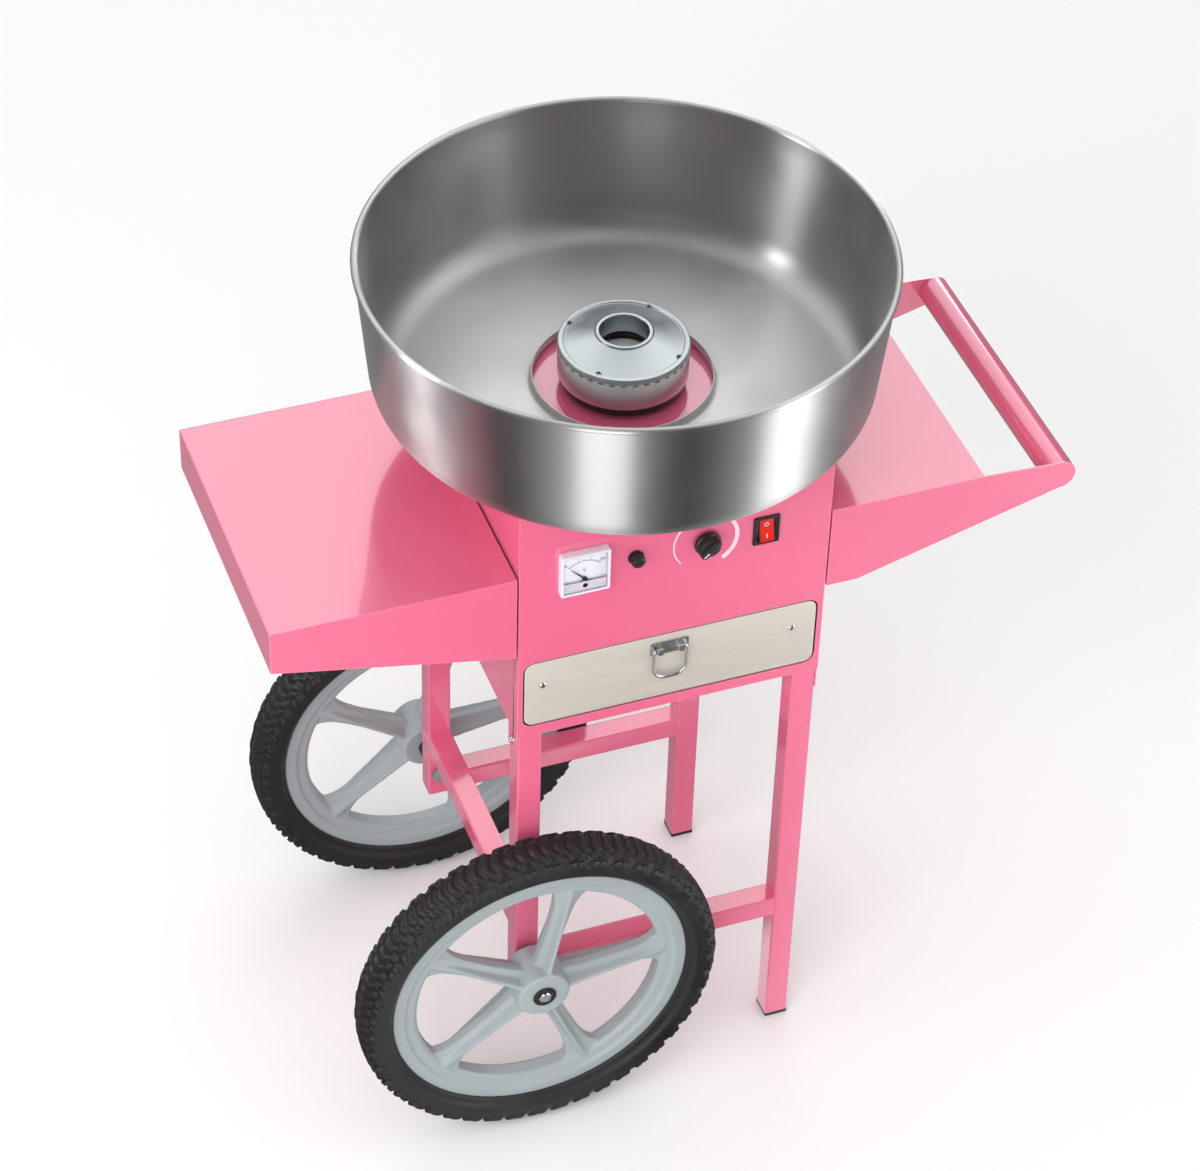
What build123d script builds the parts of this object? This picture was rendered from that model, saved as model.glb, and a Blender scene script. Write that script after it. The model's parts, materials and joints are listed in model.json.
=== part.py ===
from build123d import *
from math import cos, radians, sin
import os

# Cotton candy machine on a two-wheeled cart. Millimetres, +Z up, front faces -Y.
# The origin is on the ground under the middle of the bounding box.

os.makedirs("parts", exist_ok=True)

# ---------------------------------------------------------------- driving dimensions
SHEET = 1.5             # folded steel sheet of the body and the shelves
BODY_W = 318.0          # body, left to right
BODY_D = 315.0          # body, front to back
BODY_BOTTOM = 516.0
DECK_TOP = 804.0
LEFT_REACH = 244.5      # from the body's left face to the left shelf's outer end
RIGHT_REACH = 262.5     # from the body's right face to the tip of the handle arms
SHELF_TOP = 724.4
SHELF_GAP = 2.0         # seam between each shelf and the body
SHELF_DROP_IN = 100.0   # skirt height next to the body
SHELF_DROP_OUT = 48.0   # skirt height at the left shelf's outer end
RIGHT_SHELF_L = 160.5
ARM_BOTTOM = 627.0
ARM_LEVEL = 34.5        # level stretch of the arm's lower edge, from the body
HANDLE_Z = 704.0
ARM_TIP_R = 16.0
HANDLE_R = 15.9

TUBE = 25.0             # square tube of the cart
TUBE_WALL = 1.5
LEFT_LEG_BOTTOM = 162.0
CROSS_RAIL_Z = 228.0
TAB_DROP = 26.0         # the side panels' corner tabs overlap the legs by this much
FOOT_H = 5.0

WHEEL_R = 194.0
RIM_R = 159.5
RIM_HALF = 14.6
TYRE_HALF = 26.0
HUB_R = 29.0
HUB_HALF = 24.5
SPOKES = 5
SPOKE_PHASE = 76.0      # one spoke's angle, from +X towards +Z
RIB_ROOT_HALF = 22.0    # the spokes' ribs fall from the hub's faces to the rim
RIB_TIP_HALF = 11.5
RIB_HALF_T = 2.2
AXLE_R = 6.35
RUN = 0.08              # radial running clearance
FRONT_WHEEL_OUT = 31.0  # wheel's centre plane from the body's face
BACK_WHEEL_OUT = 40.0

BOWL_R = 260.0
BOWL_TOP = 957.8
BOWL_SHEET = 1.2
BOWL_BEAD = 3.5
BOWL_WALL_R = 246.0     # lower end of the wall
BOWL_CORNER = 33.0
BOWL_HOLE_R = 87.6
BOWL_COLLAR_Z = 816.0

HEAD_R = 64.3
HEAD_EDGE_Z = 854.4
HEAD_TOP = 867.0
HEAD_BOTTOM = 820.0
FILLER_R = 24.0
SHAFT_R = 6.0

DRAWER_W = 304.0
DRAWER_Z = (530.0, 611.0)
DRAWER_GAP = 1.8        # seam around the drawer's front
DRAWER_CORNER = 10.0
CONTROL_Z = 722.0
METER_X = -104.0
FUSE_X = -51.0
KNOB_X = 21.0
SWITCH_X = 82.5

# ---------------------------------------------------------------- derived positions
BODY_X = (LEFT_REACH - RIGHT_REACH) / 2
LEFT = BODY_X - BODY_W / 2
RIGHT = BODY_X + BODY_W / 2
FRONT = -BODY_D / 2
BACK = BODY_D / 2
LEG_LEFT_X = LEFT + SHEET
LEG_RIGHT_X = RIGHT - SHEET - TUBE
LEG_FRONT_Y = FRONT + SHEET
LEG_BACK_Y = BACK - SHEET - TUBE
AXLE_X = LEG_LEFT_X + TUBE / 2
FRONT_WHEEL_Y = FRONT - FRONT_WHEEL_OUT
BACK_WHEEL_Y = BACK + BACK_WHEEL_OUT
HANDLE_X = RIGHT + RIGHT_REACH - ARM_TIP_R
PANEL_TOP = DECK_TOP - SHEET
SHELF_LEFT_X = LEFT - LEFT_REACH
CENTRE_AXIS = Axis((BODY_X, 0, 0), (0, 0, 1))
CENTRE_SECTION = Plane((BODY_X, 0, 0), x_dir=(1, 0, 0), z_dir=(0, -1, 0))


# ---------------------------------------------------------------- helpers
def save(builder, name):
    builder.part.label = name
    export_step(builder.part, f"parts/{name}.step")


def block(x, y, z, mode=Mode.ADD):
    """A box between pairs of coordinates, in the current part."""
    with Locations((sum(x) / 2, sum(y) / 2, sum(z) / 2)):
        Box(x[1] - x[0], y[1] - y[0], z[1] - z[0], mode=mode)


def rod_y(x, z, radius, y, mode=Mode.ADD):
    """A cylinder along Y between two y values."""
    with Locations((x, sum(y) / 2, z)):
        Cylinder(radius, y[1] - y[0], rotation=(90, 0, 0), mode=mode)


def rod_x(y, z, radius, x, mode=Mode.ADD):
    """A cylinder along X between two x values."""
    with Locations((sum(x) / 2, y, z)):
        Cylinder(radius, x[1] - x[0], rotation=(0, 90, 0), mode=mode)


def rod_z(x, y, radius, z, mode=Mode.ADD):
    """A cylinder along Z between two z values."""
    with Locations((x, y, sum(z) / 2)):
        Cylinder(radius, z[1] - z[0], mode=mode)


def ring_z(outer, inner, z):
    """A ring about the vertical axis of the body."""
    rod_z(BODY_X, 0, outer, z)
    rod_z(BODY_X, 0, inner, z, Mode.SUBTRACT)


def front_plane(x, y, z, turn=0.0):
    """A plane facing the front, its x axis turned up from +X by an angle in degrees."""
    return Plane((x, y, z), x_dir=(cos(radians(turn)), 0, sin(radians(turn))), z_dir=(0, -1, 0))


def rib_plane(x, y, z, turn):
    """The plane through a wheel's axis and one spoke, with its x axis out along the spoke."""
    outward = (cos(radians(turn)), 0, sin(radians(turn)))
    return Plane((x, y, z), x_dir=outward, z_dir=(-outward[2], 0, outward[0]))


def plate_xz(profile, y):
    """Extrude a closed x-z outline between two y values."""
    with BuildSketch(Plane.XZ.offset(-y[1])) as outline:
        with BuildLine():
            Polyline(profile, close=True)
        make_face()
    extrude(outline.sketch, amount=y[1] - y[0])


# ---------------------------------------------------------------- cart frame
def square_tube(size, centre, axis):
    """A square tube, open at its ends, centred on a point and lying along an axis."""
    section = (TUBE, TUBE)
    dims = {"x": (size, *section), "y": (TUBE, size, TUBE), "z": (*section, size)}[axis]
    inner = [d - 2 * TUBE_WALL if d == TUBE else d + 1 for d in dims]
    direction = {"x": Axis.X, "y": Axis.Y, "z": Axis.Z}[axis]
    with BuildPart() as tube:
        with Locations(centre):
            Box(*dims)
        fillet(tube.edges().filter_by(direction), 2.0)
        with Locations(centre):
            Box(*inner, mode=Mode.SUBTRACT)
    return tube


def make_leg(name, x, y, bottom, has_axle):
    centre = (x + TUBE / 2, y + TUBE / 2, (bottom + BODY_BOTTOM) / 2)
    tube = square_tube(BODY_BOTTOM - bottom, centre, "z")
    with tube:
        if has_axle:
            rod_y(AXLE_X, WHEEL_R, AXLE_R + RUN, (y - 1, y + TUBE + 1), Mode.SUBTRACT)
        outer = x if x < BODY_X else x + TUBE
        rod_x(y + TUBE / 2, BODY_BOTTOM - TAB_DROP / 2, 2.1, (outer - 3, outer + 3), Mode.SUBTRACT)
    save(tube, name)


make_leg("front_left_leg", LEG_LEFT_X, LEG_FRONT_Y, LEFT_LEG_BOTTOM, True)
make_leg("back_left_leg", LEG_LEFT_X, LEG_BACK_Y, LEFT_LEG_BOTTOM, True)
make_leg("front_right_leg", LEG_RIGHT_X, LEG_FRONT_Y, FOOT_H, False)
make_leg("back_right_leg", LEG_RIGHT_X, LEG_BACK_Y, FOOT_H, False)

rail_length = LEG_RIGHT_X - LEG_LEFT_X - TUBE
rail_x = (LEG_RIGHT_X + LEG_LEFT_X + TUBE) / 2
rail_z = LEFT_LEG_BOTTOM + TUBE / 2
for rail_name, leg_y in (("front_rail", LEG_FRONT_Y), ("back_rail", LEG_BACK_Y)):
    save(square_tube(rail_length, (rail_x, leg_y + TUBE / 2, rail_z), "x"), rail_name)

cross_length = LEG_BACK_Y - LEG_FRONT_Y - TUBE
save(square_tube(cross_length, (AXLE_X, 0, CROSS_RAIL_Z + TUBE / 2), "y"), "cross_rail")

with BuildPart() as foot_caps:
    for leg_y in (LEG_FRONT_Y, LEG_BACK_Y):
        block((LEG_RIGHT_X, LEG_RIGHT_X + TUBE), (leg_y, leg_y + TUBE), (0, FOOT_H))
        stem = TUBE_WALL + 0.2
        stem_x = (LEG_RIGHT_X + stem, LEG_RIGHT_X + TUBE - stem)
        block(stem_x, (leg_y + stem, leg_y + TUBE - stem), (FOOT_H, FOOT_H + 16))
    fillet(foot_caps.edges().group_by(Axis.Z)[0], 1.0)
save(foot_caps, "foot_caps")


# ---------------------------------------------------------------- body sheet metal
METER_HOLE_R = 23.0
SWITCH_BODY = (21.0, 29.0)
VENT_ROWS = 7

with BuildPart() as front_panel:
    block((LEFT, RIGHT), (FRONT, FRONT + SHEET), (BODY_BOTTOM, PANEL_TOP))
    through = (FRONT - 1, FRONT + SHEET + 1)
    rod_y(METER_X, CONTROL_Z, METER_HOLE_R, through, Mode.SUBTRACT)
    rod_y(FUSE_X, CONTROL_Z, 6.1, through, Mode.SUBTRACT)
    rod_y(KNOB_X, CONTROL_Z, 4.6, through, Mode.SUBTRACT)
    switch_x = (SWITCH_X - SWITCH_BODY[0] / 2, SWITCH_X + SWITCH_BODY[0] / 2)
    switch_z = (CONTROL_Z - 2 - SWITCH_BODY[1] / 2, CONTROL_Z - 2 + SWITCH_BODY[1] / 2)
    block(switch_x, through, switch_z, Mode.SUBTRACT)
    with BuildSketch(Plane.XZ.offset(-FRONT - SHEET - 1)):
        with Locations((BODY_X, sum(DRAWER_Z) / 2)):
            RectangleRounded(
                DRAWER_W + 2 * DRAWER_GAP, DRAWER_Z[1] - DRAWER_Z[0] + 2 * DRAWER_GAP,
                DRAWER_CORNER + DRAWER_GAP,
            )
    extrude(amount=SHEET + 2, mode=Mode.SUBTRACT)
save(front_panel, "front_panel")


def make_side_panel(name, outer, inward):
    """A side sheet with a top and a back flange and two corner tabs over the legs."""
    inner = outer + inward * SHEET
    skin = tuple(sorted((outer, inner)))
    lip = tuple(sorted((outer, inner + inward * 12)))
    with BuildPart() as panel:
        block(skin, (LEG_FRONT_Y, -LEG_FRONT_Y), (BODY_BOTTOM, PANEL_TOP))
        block(lip, (LEG_FRONT_Y, -LEG_FRONT_Y), (PANEL_TOP - SHEET, PANEL_TOP))
        block(lip, (-LEG_FRONT_Y - SHEET, -LEG_FRONT_Y), (BODY_BOTTOM + 4, PANEL_TOP))
        for leg_y in (LEG_FRONT_Y, LEG_BACK_Y):
            tab_y = (leg_y, leg_y + TUBE)
            block(skin, tab_y, (BODY_BOTTOM - TAB_DROP, BODY_BOTTOM))
            hole_z = BODY_BOTTOM - TAB_DROP / 2
            rod_x(sum(tab_y) / 2, hole_z, 2.1, (outer - 3, outer + 3), Mode.SUBTRACT)
            rod_x(sum(tab_y) / 2, SHELF_TOP - 30, 2.1, (outer - 3, outer + 3), Mode.SUBTRACT)
    save(panel, name)


make_side_panel("left_side_panel", LEFT, 1)
make_side_panel("right_side_panel", RIGHT, -1)

GLAND_X = RIGHT - 45
GLAND_Z = BODY_BOTTOM + 110
with BuildPart() as back_panel:
    block((LEFT, RIGHT), (BACK - SHEET, BACK), (BODY_BOTTOM, PANEL_TOP))
    for row in range(VENT_ROWS):
        vent_z = PANEL_TOP - 50 - 12 * row
        block((BODY_X - 60, BODY_X + 60), (BACK - 3, BACK + 1), (vent_z - 2, vent_z + 2), Mode.SUBTRACT)
    rod_y(GLAND_X, GLAND_Z, 8.1, (BACK - 3, BACK + 1), Mode.SUBTRACT)
save(back_panel, "back_panel")

STANDOFF_PCD_R = 36.0
with BuildPart() as top_deck:
    block((LEFT, RIGHT), (FRONT, BACK), (PANEL_TOP, DECK_TOP))
    fillet(top_deck.edges().filter_by(Axis.Z), 1.2)
    rod_z(BODY_X, 0, 26, (PANEL_TOP - 1, DECK_TOP + 1), Mode.SUBTRACT)
    with Locations((BODY_X, 0, DECK_TOP - SHEET / 2)):
        with PolarLocations(STANDOFF_PCD_R, 4, 45):
            Cylinder(2.6, 4, mode=Mode.SUBTRACT)
save(top_deck, "top_deck")

with BuildPart() as base_plate:
    block((LEFT + SHEET, RIGHT - SHEET), (LEG_FRONT_Y, -LEG_FRONT_Y), (BODY_BOTTOM, BODY_BOTTOM + SHEET))
    with Locations((BODY_X, 0, BODY_BOTTOM + SHEET / 2)):
        with GridLocations(40, 40, 4, 4):
            Cylinder(5, 4, mode=Mode.SUBTRACT)
save(base_plate, "base_plate")


# ---------------------------------------------------------------- shelves and handle
with BuildPart() as left_shelf:
    inner_x = LEFT - SHELF_GAP
    outline = [
        (SHELF_LEFT_X, SHELF_TOP),
        (inner_x, SHELF_TOP),
        (inner_x, SHELF_TOP - SHELF_DROP_IN),
        (SHELF_LEFT_X, SHELF_TOP - SHELF_DROP_OUT),
    ]
    plate_xz(outline, (FRONT, BACK))
    fillet(left_shelf.edges().group_by(Axis.Z)[-1].filter_by(Axis.X), 1.4)
    fillet(left_shelf.faces().sort_by(Axis.X)[0].edges().sort_by(Axis.Z)[-1], 1.4)
    hollow = [
        (SHELF_LEFT_X + SHEET, SHELF_TOP - SHEET),
        (inner_x - SHEET, SHELF_TOP - SHEET),
        (inner_x - SHEET, SHELF_TOP - SHELF_DROP_IN - 5),
        (SHELF_LEFT_X + SHEET, SHELF_TOP - SHELF_DROP_OUT - 5),
    ]
    with BuildSketch(Plane.XZ.offset(-BACK + SHEET)):
        with BuildLine():
            Polyline(hollow, close=True)
        make_face()
    extrude(amount=BODY_D - 2 * SHEET, mode=Mode.SUBTRACT)
    for leg_y in (LEG_FRONT_Y, LEG_BACK_Y):
        rod_x(leg_y + TUBE / 2, SHELF_TOP - 30, 2.1, (inner_x - 4, inner_x + 1), Mode.SUBTRACT)
save(left_shelf, "left_shelf")


def make_right_shelf():
    inner_x = RIGHT + SHELF_GAP
    end_x = RIGHT + SHELF_GAP + RIGHT_SHELF_L
    with BuildPart() as shelf:
        for y in ((FRONT, FRONT + SHEET), (BACK - SHEET, BACK)):
            with BuildSketch(Plane.XZ.offset(-y[1])):
                with BuildLine():
                    Polyline(
                        (inner_x, SHELF_TOP),
                        (end_x, SHELF_TOP),
                        (HANDLE_X, HANDLE_Z + ARM_TIP_R),
                        (HANDLE_X, HANDLE_Z - ARM_TIP_R),
                        (RIGHT + ARM_LEVEL, ARM_BOTTOM),
                        (inner_x, ARM_BOTTOM),
                        close=True,
                    )
                make_face()
                with Locations((HANDLE_X, HANDLE_Z)):
                    Circle(ARM_TIP_R)
            extrude(amount=SHEET)
        block((inner_x, end_x), (FRONT + SHEET, BACK - SHEET), (SHELF_TOP - SHEET, SHELF_TOP))
        inner_z = (ARM_BOTTOM, SHELF_TOP - SHEET)
        block((inner_x, inner_x + SHEET), (FRONT + SHEET, BACK - SHEET), inner_z)
        lip_z = (SHELF_TOP - 20, SHELF_TOP - SHEET)
        block((end_x - SHEET, end_x), (FRONT + SHEET, BACK - SHEET), lip_z)
        for leg_y in (LEG_FRONT_Y, LEG_BACK_Y):
            rod_x(leg_y + TUBE / 2, SHELF_TOP - 30, 2.1, (inner_x - 1, inner_x + 4), Mode.SUBTRACT)
    save(shelf, "right_shelf")


make_right_shelf()

with BuildPart() as handle_tube:
    rod_y(HANDLE_X, HANDLE_Z, HANDLE_R, (FRONT + SHEET, BACK - SHEET))
    rod_y(HANDLE_X, HANDLE_Z, HANDLE_R - 1.5, (FRONT, BACK), Mode.SUBTRACT)
save(handle_tube, "handle_tube")


# ---------------------------------------------------------------- screws of the body
def cross_screw(x_head, direction, y, z, length):
    """A pan-head screw lying along X: its head starts at x_head and its shank goes on."""
    shank = tuple(sorted((x_head, x_head + direction * length)))
    head = tuple(sorted((x_head - direction * 2.2, x_head)))
    rod_x(y, z, 2.0, shank)
    rod_x(y, z, 4.2, head)


with BuildPart() as panel_screws:
    for leg_y in (LEG_FRONT_Y, LEG_BACK_Y):
        y = leg_y + TUBE / 2
        cross_screw(LEFT, 1, y, BODY_BOTTOM - TAB_DROP / 2, 6)
        cross_screw(RIGHT, -1, y, BODY_BOTTOM - TAB_DROP / 2, 6)
        cross_screw(LEFT - SHELF_GAP - SHEET, 1, y, SHELF_TOP - 30, 8)
        cross_screw(RIGHT + SHELF_GAP + SHEET, -1, y, SHELF_TOP - 30, 8)
save(panel_screws, "panel_screws")


# ---------------------------------------------------------------- wheels and axles
def make_axle(name, leg_faces, outer_end):
    """A stub axle: its head bears on the leg's inner face and the wheel turns on its end."""
    inner_face, outward = leg_faces
    with BuildPart() as axle:
        rod_y(AXLE_X, WHEEL_R, AXLE_R, tuple(sorted((inner_face, outer_end))))
        head_y = tuple(sorted((inner_face, inner_face - outward * 6)))
        with BuildSketch(Plane.XZ.offset(-head_y[1])):
            with Locations((AXLE_X, WHEEL_R)):
                RegularPolygon(10.5, 6)
        extrude(amount=6)
        tip = axle.faces().sort_by(Axis.Y)[0 if outward < 0 else -1]
        chamfer(tip.edges(), 1.0)
    save(axle, name)


AXLE_STICKOUT = 3.6
front_end = FRONT_WHEEL_Y - HUB_HALF - AXLE_STICKOUT
back_end = BACK_WHEEL_Y + HUB_HALF + AXLE_STICKOUT
make_axle("front_axle", (LEG_FRONT_Y + TUBE, -1), front_end)
make_axle("back_axle", (LEG_BACK_Y, 1), back_end)

END_PLAY = 0.5
spacer_spans = (
    (FRONT_WHEEL_Y + HUB_HALF + END_PLAY, LEG_FRONT_Y),
    (LEG_BACK_Y + TUBE, BACK_WHEEL_Y - HUB_HALF - END_PLAY),
)
with BuildPart() as wheel_spacers:
    for span in spacer_spans:
        rod_y(AXLE_X, WHEEL_R, 11, span)
        rod_y(AXLE_X, WHEEL_R, AXLE_R + RUN, span, Mode.SUBTRACT)
save(wheel_spacers, "wheel_spacers")

NUT_T = 1.6
nut_spans = (
    (FRONT_WHEEL_Y - HUB_HALF - END_PLAY - NUT_T, FRONT_WHEEL_Y - HUB_HALF - END_PLAY),
    (BACK_WHEEL_Y + HUB_HALF + END_PLAY, BACK_WHEEL_Y + HUB_HALF + END_PLAY + NUT_T),
)
with BuildPart() as push_nuts:
    for span in nut_spans:
        rod_y(AXLE_X, WHEEL_R, 12.5, span)
        rod_y(AXLE_X, WHEEL_R, AXLE_R + 0.02, span, Mode.SUBTRACT)
save(push_nuts, "push_nuts")


def spoke_outline(root_half, tip_half, root_r, tip_r):
    return [(root_r, root_half), (tip_r, tip_half), (tip_r, -tip_half), (root_r, -root_half)]


def make_wheel(prefix, plane_y):
    """The moulded rim with its five ribbed spokes, and the tyre around it."""
    section_plane = Plane((AXLE_X, plane_y, WHEEL_R), x_dir=(1, 0, 0), z_dir=(0, 0, 1))
    axis = Axis((AXLE_X, plane_y, WHEEL_R), (0, 1, 0))
    with BuildPart() as rim:
        with BuildSketch(section_plane):
            with BuildLine():
                Polyline(
                    (131, -8), (135, -11), (147, -RIM_HALF), (RIM_R, -RIM_HALF),
                    (RIM_R, RIM_HALF), (147, RIM_HALF), (135, 11), (131, 8),
                    close=True,
                )
            make_face()
        revolve(axis=axis)
        for index in range(SPOKES):
            turn = SPOKE_PHASE + index * 360 / SPOKES
            spoke_plane = front_plane(AXLE_X, plane_y, WHEEL_R, turn)
            with BuildSketch(spoke_plane):
                with BuildLine():
                    Polyline(spoke_outline(15, 9.5, 18, 134), close=True)
                make_face()
            extrude(amount=6, both=True)
            with BuildSketch(rib_plane(AXLE_X, plane_y, WHEEL_R, turn)):
                with BuildLine():
                    Polyline(spoke_outline(RIB_ROOT_HALF, RIB_TIP_HALF, 18, 136), close=True)
                make_face()
            extrude(amount=RIB_HALF_T, both=True)
        rod_y(AXLE_X, WHEEL_R, HUB_R, (plane_y - HUB_HALF, plane_y + HUB_HALF))
        rod_y(AXLE_X, WHEEL_R, AXLE_R + RUN, (plane_y - 40, plane_y + 40), Mode.SUBTRACT)
    save(rim, f"{prefix}_wheel_rim")
    with BuildPart() as tyre:
        with BuildSketch(section_plane):
            with Locations(((RIM_R + WHEEL_R) / 2, 0)):
                RectangleRounded(WHEEL_R - RIM_R, 2 * TYRE_HALF, 12)
        revolve(axis=axis)
    save(tyre, f"{prefix}_tyre")


make_wheel("front", FRONT_WHEEL_Y)
make_wheel("back", BACK_WHEEL_Y)


# ---------------------------------------------------------------- bowl
with BuildPart() as bowl:
    half_sheet = BOWL_SHEET / 2
    floor_z = DECK_TOP + half_sheet
    collar_r = BOWL_HOLE_R + half_sheet
    collar_bend = 5.0
    corner_r = BOWL_WALL_R - half_sheet - BOWL_CORNER
    bead_centre = (BOWL_R - BOWL_BEAD, BOWL_TOP - BOWL_BEAD)
    with BuildSketch(CENTRE_SECTION):
        with BuildLine():
            Line((collar_r, BOWL_COLLAR_Z), (collar_r, floor_z + collar_bend))
            CenterArc((collar_r + collar_bend, floor_z + collar_bend), collar_bend, 180, 90)
            Line((collar_r + collar_bend, floor_z), (corner_r, floor_z))
            CenterArc((corner_r, floor_z + BOWL_CORNER), BOWL_CORNER, 270, 90)
            Line((corner_r + BOWL_CORNER, floor_z + BOWL_CORNER), bead_centre)
        trace(line_width=BOWL_SHEET)
        with Locations(bead_centre):
            Circle(BOWL_BEAD)
    revolve(axis=CENTRE_AXIS)
save(bowl, "bowl")


# ---------------------------------------------------------------- spinner head and motor
def turned(outline):
    """Revolve a closed radius-height outline about the body's vertical axis."""
    with BuildSketch(CENTRE_SECTION) as section:
        with BuildLine():
            Polyline(outline, close=True)
        make_face()
    revolve(section.sketch, axis=CENTRE_AXIS)


FILLER_DEEP = 20.0      # the filler's chute
BAND_T = 2.5
PAN_FLOOR = HEAD_BOTTOM + 4
COVER_EDGE = HEAD_EDGE_Z - 4
POST_R = HEAD_R - 6.5
SCREW_SEAT_Z = HEAD_EDGE_Z
HEATER_R = 47.0
HEATER_WIRE = 3.2
HEATER_LEADS = [side * (HEATER_R + inset) for side in (-1, 1) for inset in (-9, 0)]
LEAD_END = HEAD_BOTTOM - 4


def lead_holes():
    """Holes for the heater's leads, through whatever is being made."""
    for x in HEATER_LEADS:
        rod_z(BODY_X + x, 0, 1.6, (LEAD_END, PAN_FLOOR + 1), Mode.SUBTRACT)


with BuildPart() as spinner_cover:
    turned([
        (FILLER_R, HEAD_TOP - FILLER_DEEP), (FILLER_R, HEAD_TOP), (FILLER_R + 3.5, HEAD_TOP),
        (FILLER_R + 4.5, HEAD_TOP - 2), (HEAD_R - 4, HEAD_EDGE_Z + 0.6), (HEAD_R - 3, HEAD_EDGE_Z),
        (HEAD_R, HEAD_EDGE_Z - 0.6), (HEAD_R, COVER_EDGE), (HEAD_R - 5, COVER_EDGE),
        (FILLER_R + 6, HEAD_TOP - 5), (FILLER_R + 1.5, HEAD_TOP - 6),
        (FILLER_R + 1.5, HEAD_TOP - FILLER_DEEP),
    ])
    with Locations((BODY_X, 0, SCREW_SEAT_Z)):
        with PolarLocations(POST_R, 4, 45):
            Cylinder(1.6, 20, mode=Mode.SUBTRACT)
            Cylinder(2.8, 8, align=(Align.CENTER, Align.CENTER, Align.MIN), mode=Mode.SUBTRACT)
save(spinner_cover, "spinner_cover")

SLOTS = 36
with BuildPart() as spinner_band:
    ring_z(HEAD_R - 0.6, HEAD_R - 0.6 - BAND_T, (HEAD_BOTTOM, COVER_EDGE))
    with Locations((BODY_X, 0, COVER_EDGE - 1.6)):
        with PolarLocations(HEAD_R - 2, SLOTS):
            Box(8, 5, 1.6, mode=Mode.SUBTRACT)
save(spinner_band, "spinner_band")

with BuildPart() as spinner_pan:
    inner_wall = HEAD_R - 0.6 - BAND_T
    turned([
        (SHAFT_R, HEAD_BOTTOM), (inner_wall, HEAD_BOTTOM), (inner_wall, PAN_FLOOR),
        (31, PAN_FLOOR), (25, PAN_FLOOR + 13), (SHAFT_R, PAN_FLOOR + 18),
    ])
    with Locations((BODY_X, 0, (PAN_FLOOR + COVER_EDGE) / 2)):
        with PolarLocations(POST_R, 4, 45):
            Cylinder(3, COVER_EDGE - PAN_FLOOR)
    with Locations((BODY_X, 0, COVER_EDGE)):
        with PolarLocations(POST_R, 4, 45):
            Cylinder(1.6, 24, mode=Mode.SUBTRACT)
    lead_holes()
save(spinner_pan, "spinner_pan")

with BuildPart() as spinner_screws:
    with Locations((BODY_X, 0, SCREW_SEAT_Z)):
        with PolarLocations(POST_R, 4, 45):
            Cylinder(2.6, 2.4, align=(Align.CENTER, Align.CENTER, Align.MIN))
            Cylinder(1.5, 12, align=(Align.CENTER, Align.CENTER, Align.MAX))
save(spinner_screws, "spinner_screws")

with BuildPart() as heater_element:
    with BuildSketch(CENTRE_SECTION):
        for coil_r in (HEATER_R - 9, HEATER_R):
            with Locations((coil_r, PAN_FLOOR + 8)):
                Circle(HEATER_WIRE)
    revolve(axis=CENTRE_AXIS)
    for x in HEATER_LEADS:
        rod_z(BODY_X + x, 0, 1.5, (LEAD_END, PAN_FLOOR + 8))
save(heater_element, "heater_element")

RING_BOTTOM = HEAD_BOTTOM - 8
SLIP_CORE_R = 14.0
SLIP_CORE_Z = (776.0, RING_BOTTOM)
SLIP_RING_R = 19.0
SLIP_BANDS = ((779.0, 785.0), (791.0, 797.0))
with BuildPart() as insulator_ring:
    ring_z(HEAD_R - 2.5, SHAFT_R, (RING_BOTTOM, HEAD_BOTTOM))
    ring_z(SLIP_CORE_R, SHAFT_R, SLIP_CORE_Z)
    lead_holes()
save(insulator_ring, "insulator_ring")

with BuildPart() as slip_rings:
    for band in SLIP_BANDS:
        ring_z(SLIP_RING_R, SLIP_CORE_R, band)
save(slip_rings, "slip_rings")

CASE_R = 46.0
CASE_Z = (662.0, 762.0)
CASE_WALL = 2.5
CASE_CAP = 12.0
BEARING_R = 14.0
BEARING_T = 9.0
with BuildPart() as motor_case:
    rod_z(BODY_X, 0, CASE_R, CASE_Z)
    rod_z(BODY_X, 0, CASE_R - CASE_WALL, (CASE_Z[0] + CASE_CAP, CASE_Z[1] - CASE_CAP), Mode.SUBTRACT)
    rod_z(BODY_X, 0, SHAFT_R + 1, (CASE_Z[0] - 1, CASE_Z[1] + 1), Mode.SUBTRACT)
    rod_z(BODY_X, 0, BEARING_R, (CASE_Z[0] - 1, CASE_Z[0] + BEARING_T), Mode.SUBTRACT)
    rod_z(BODY_X, 0, BEARING_R, (CASE_Z[1] - BEARING_T, CASE_Z[1] + 1), Mode.SUBTRACT)
save(motor_case, "motor_case")

with BuildPart() as motor_bearings:
    for bearing_z in ((CASE_Z[0], CASE_Z[0] + BEARING_T), (CASE_Z[1] - BEARING_T, CASE_Z[1])):
        ring_z(BEARING_R, SHAFT_R + RUN, bearing_z)
save(motor_bearings, "motor_bearings")

FAN_BLADES = 8
with BuildPart() as motor_shaft:
    rod_z(BODY_X, 0, SHAFT_R, (CASE_Z[0] - 14, PAN_FLOOR + 17))
    rod_z(BODY_X, 0, CASE_R - CASE_WALL - 4, (CASE_Z[0] + 18, CASE_Z[1] - 18))
    rod_z(BODY_X, 0, 12, (CASE_Z[0] - 13, CASE_Z[0] - 3))
    with Locations((BODY_X, 0, CASE_Z[0] - 8)):
        with PolarLocations(26, FAN_BLADES):
            Box(34, 2, 8)
save(motor_shaft, "motor_shaft")

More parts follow.
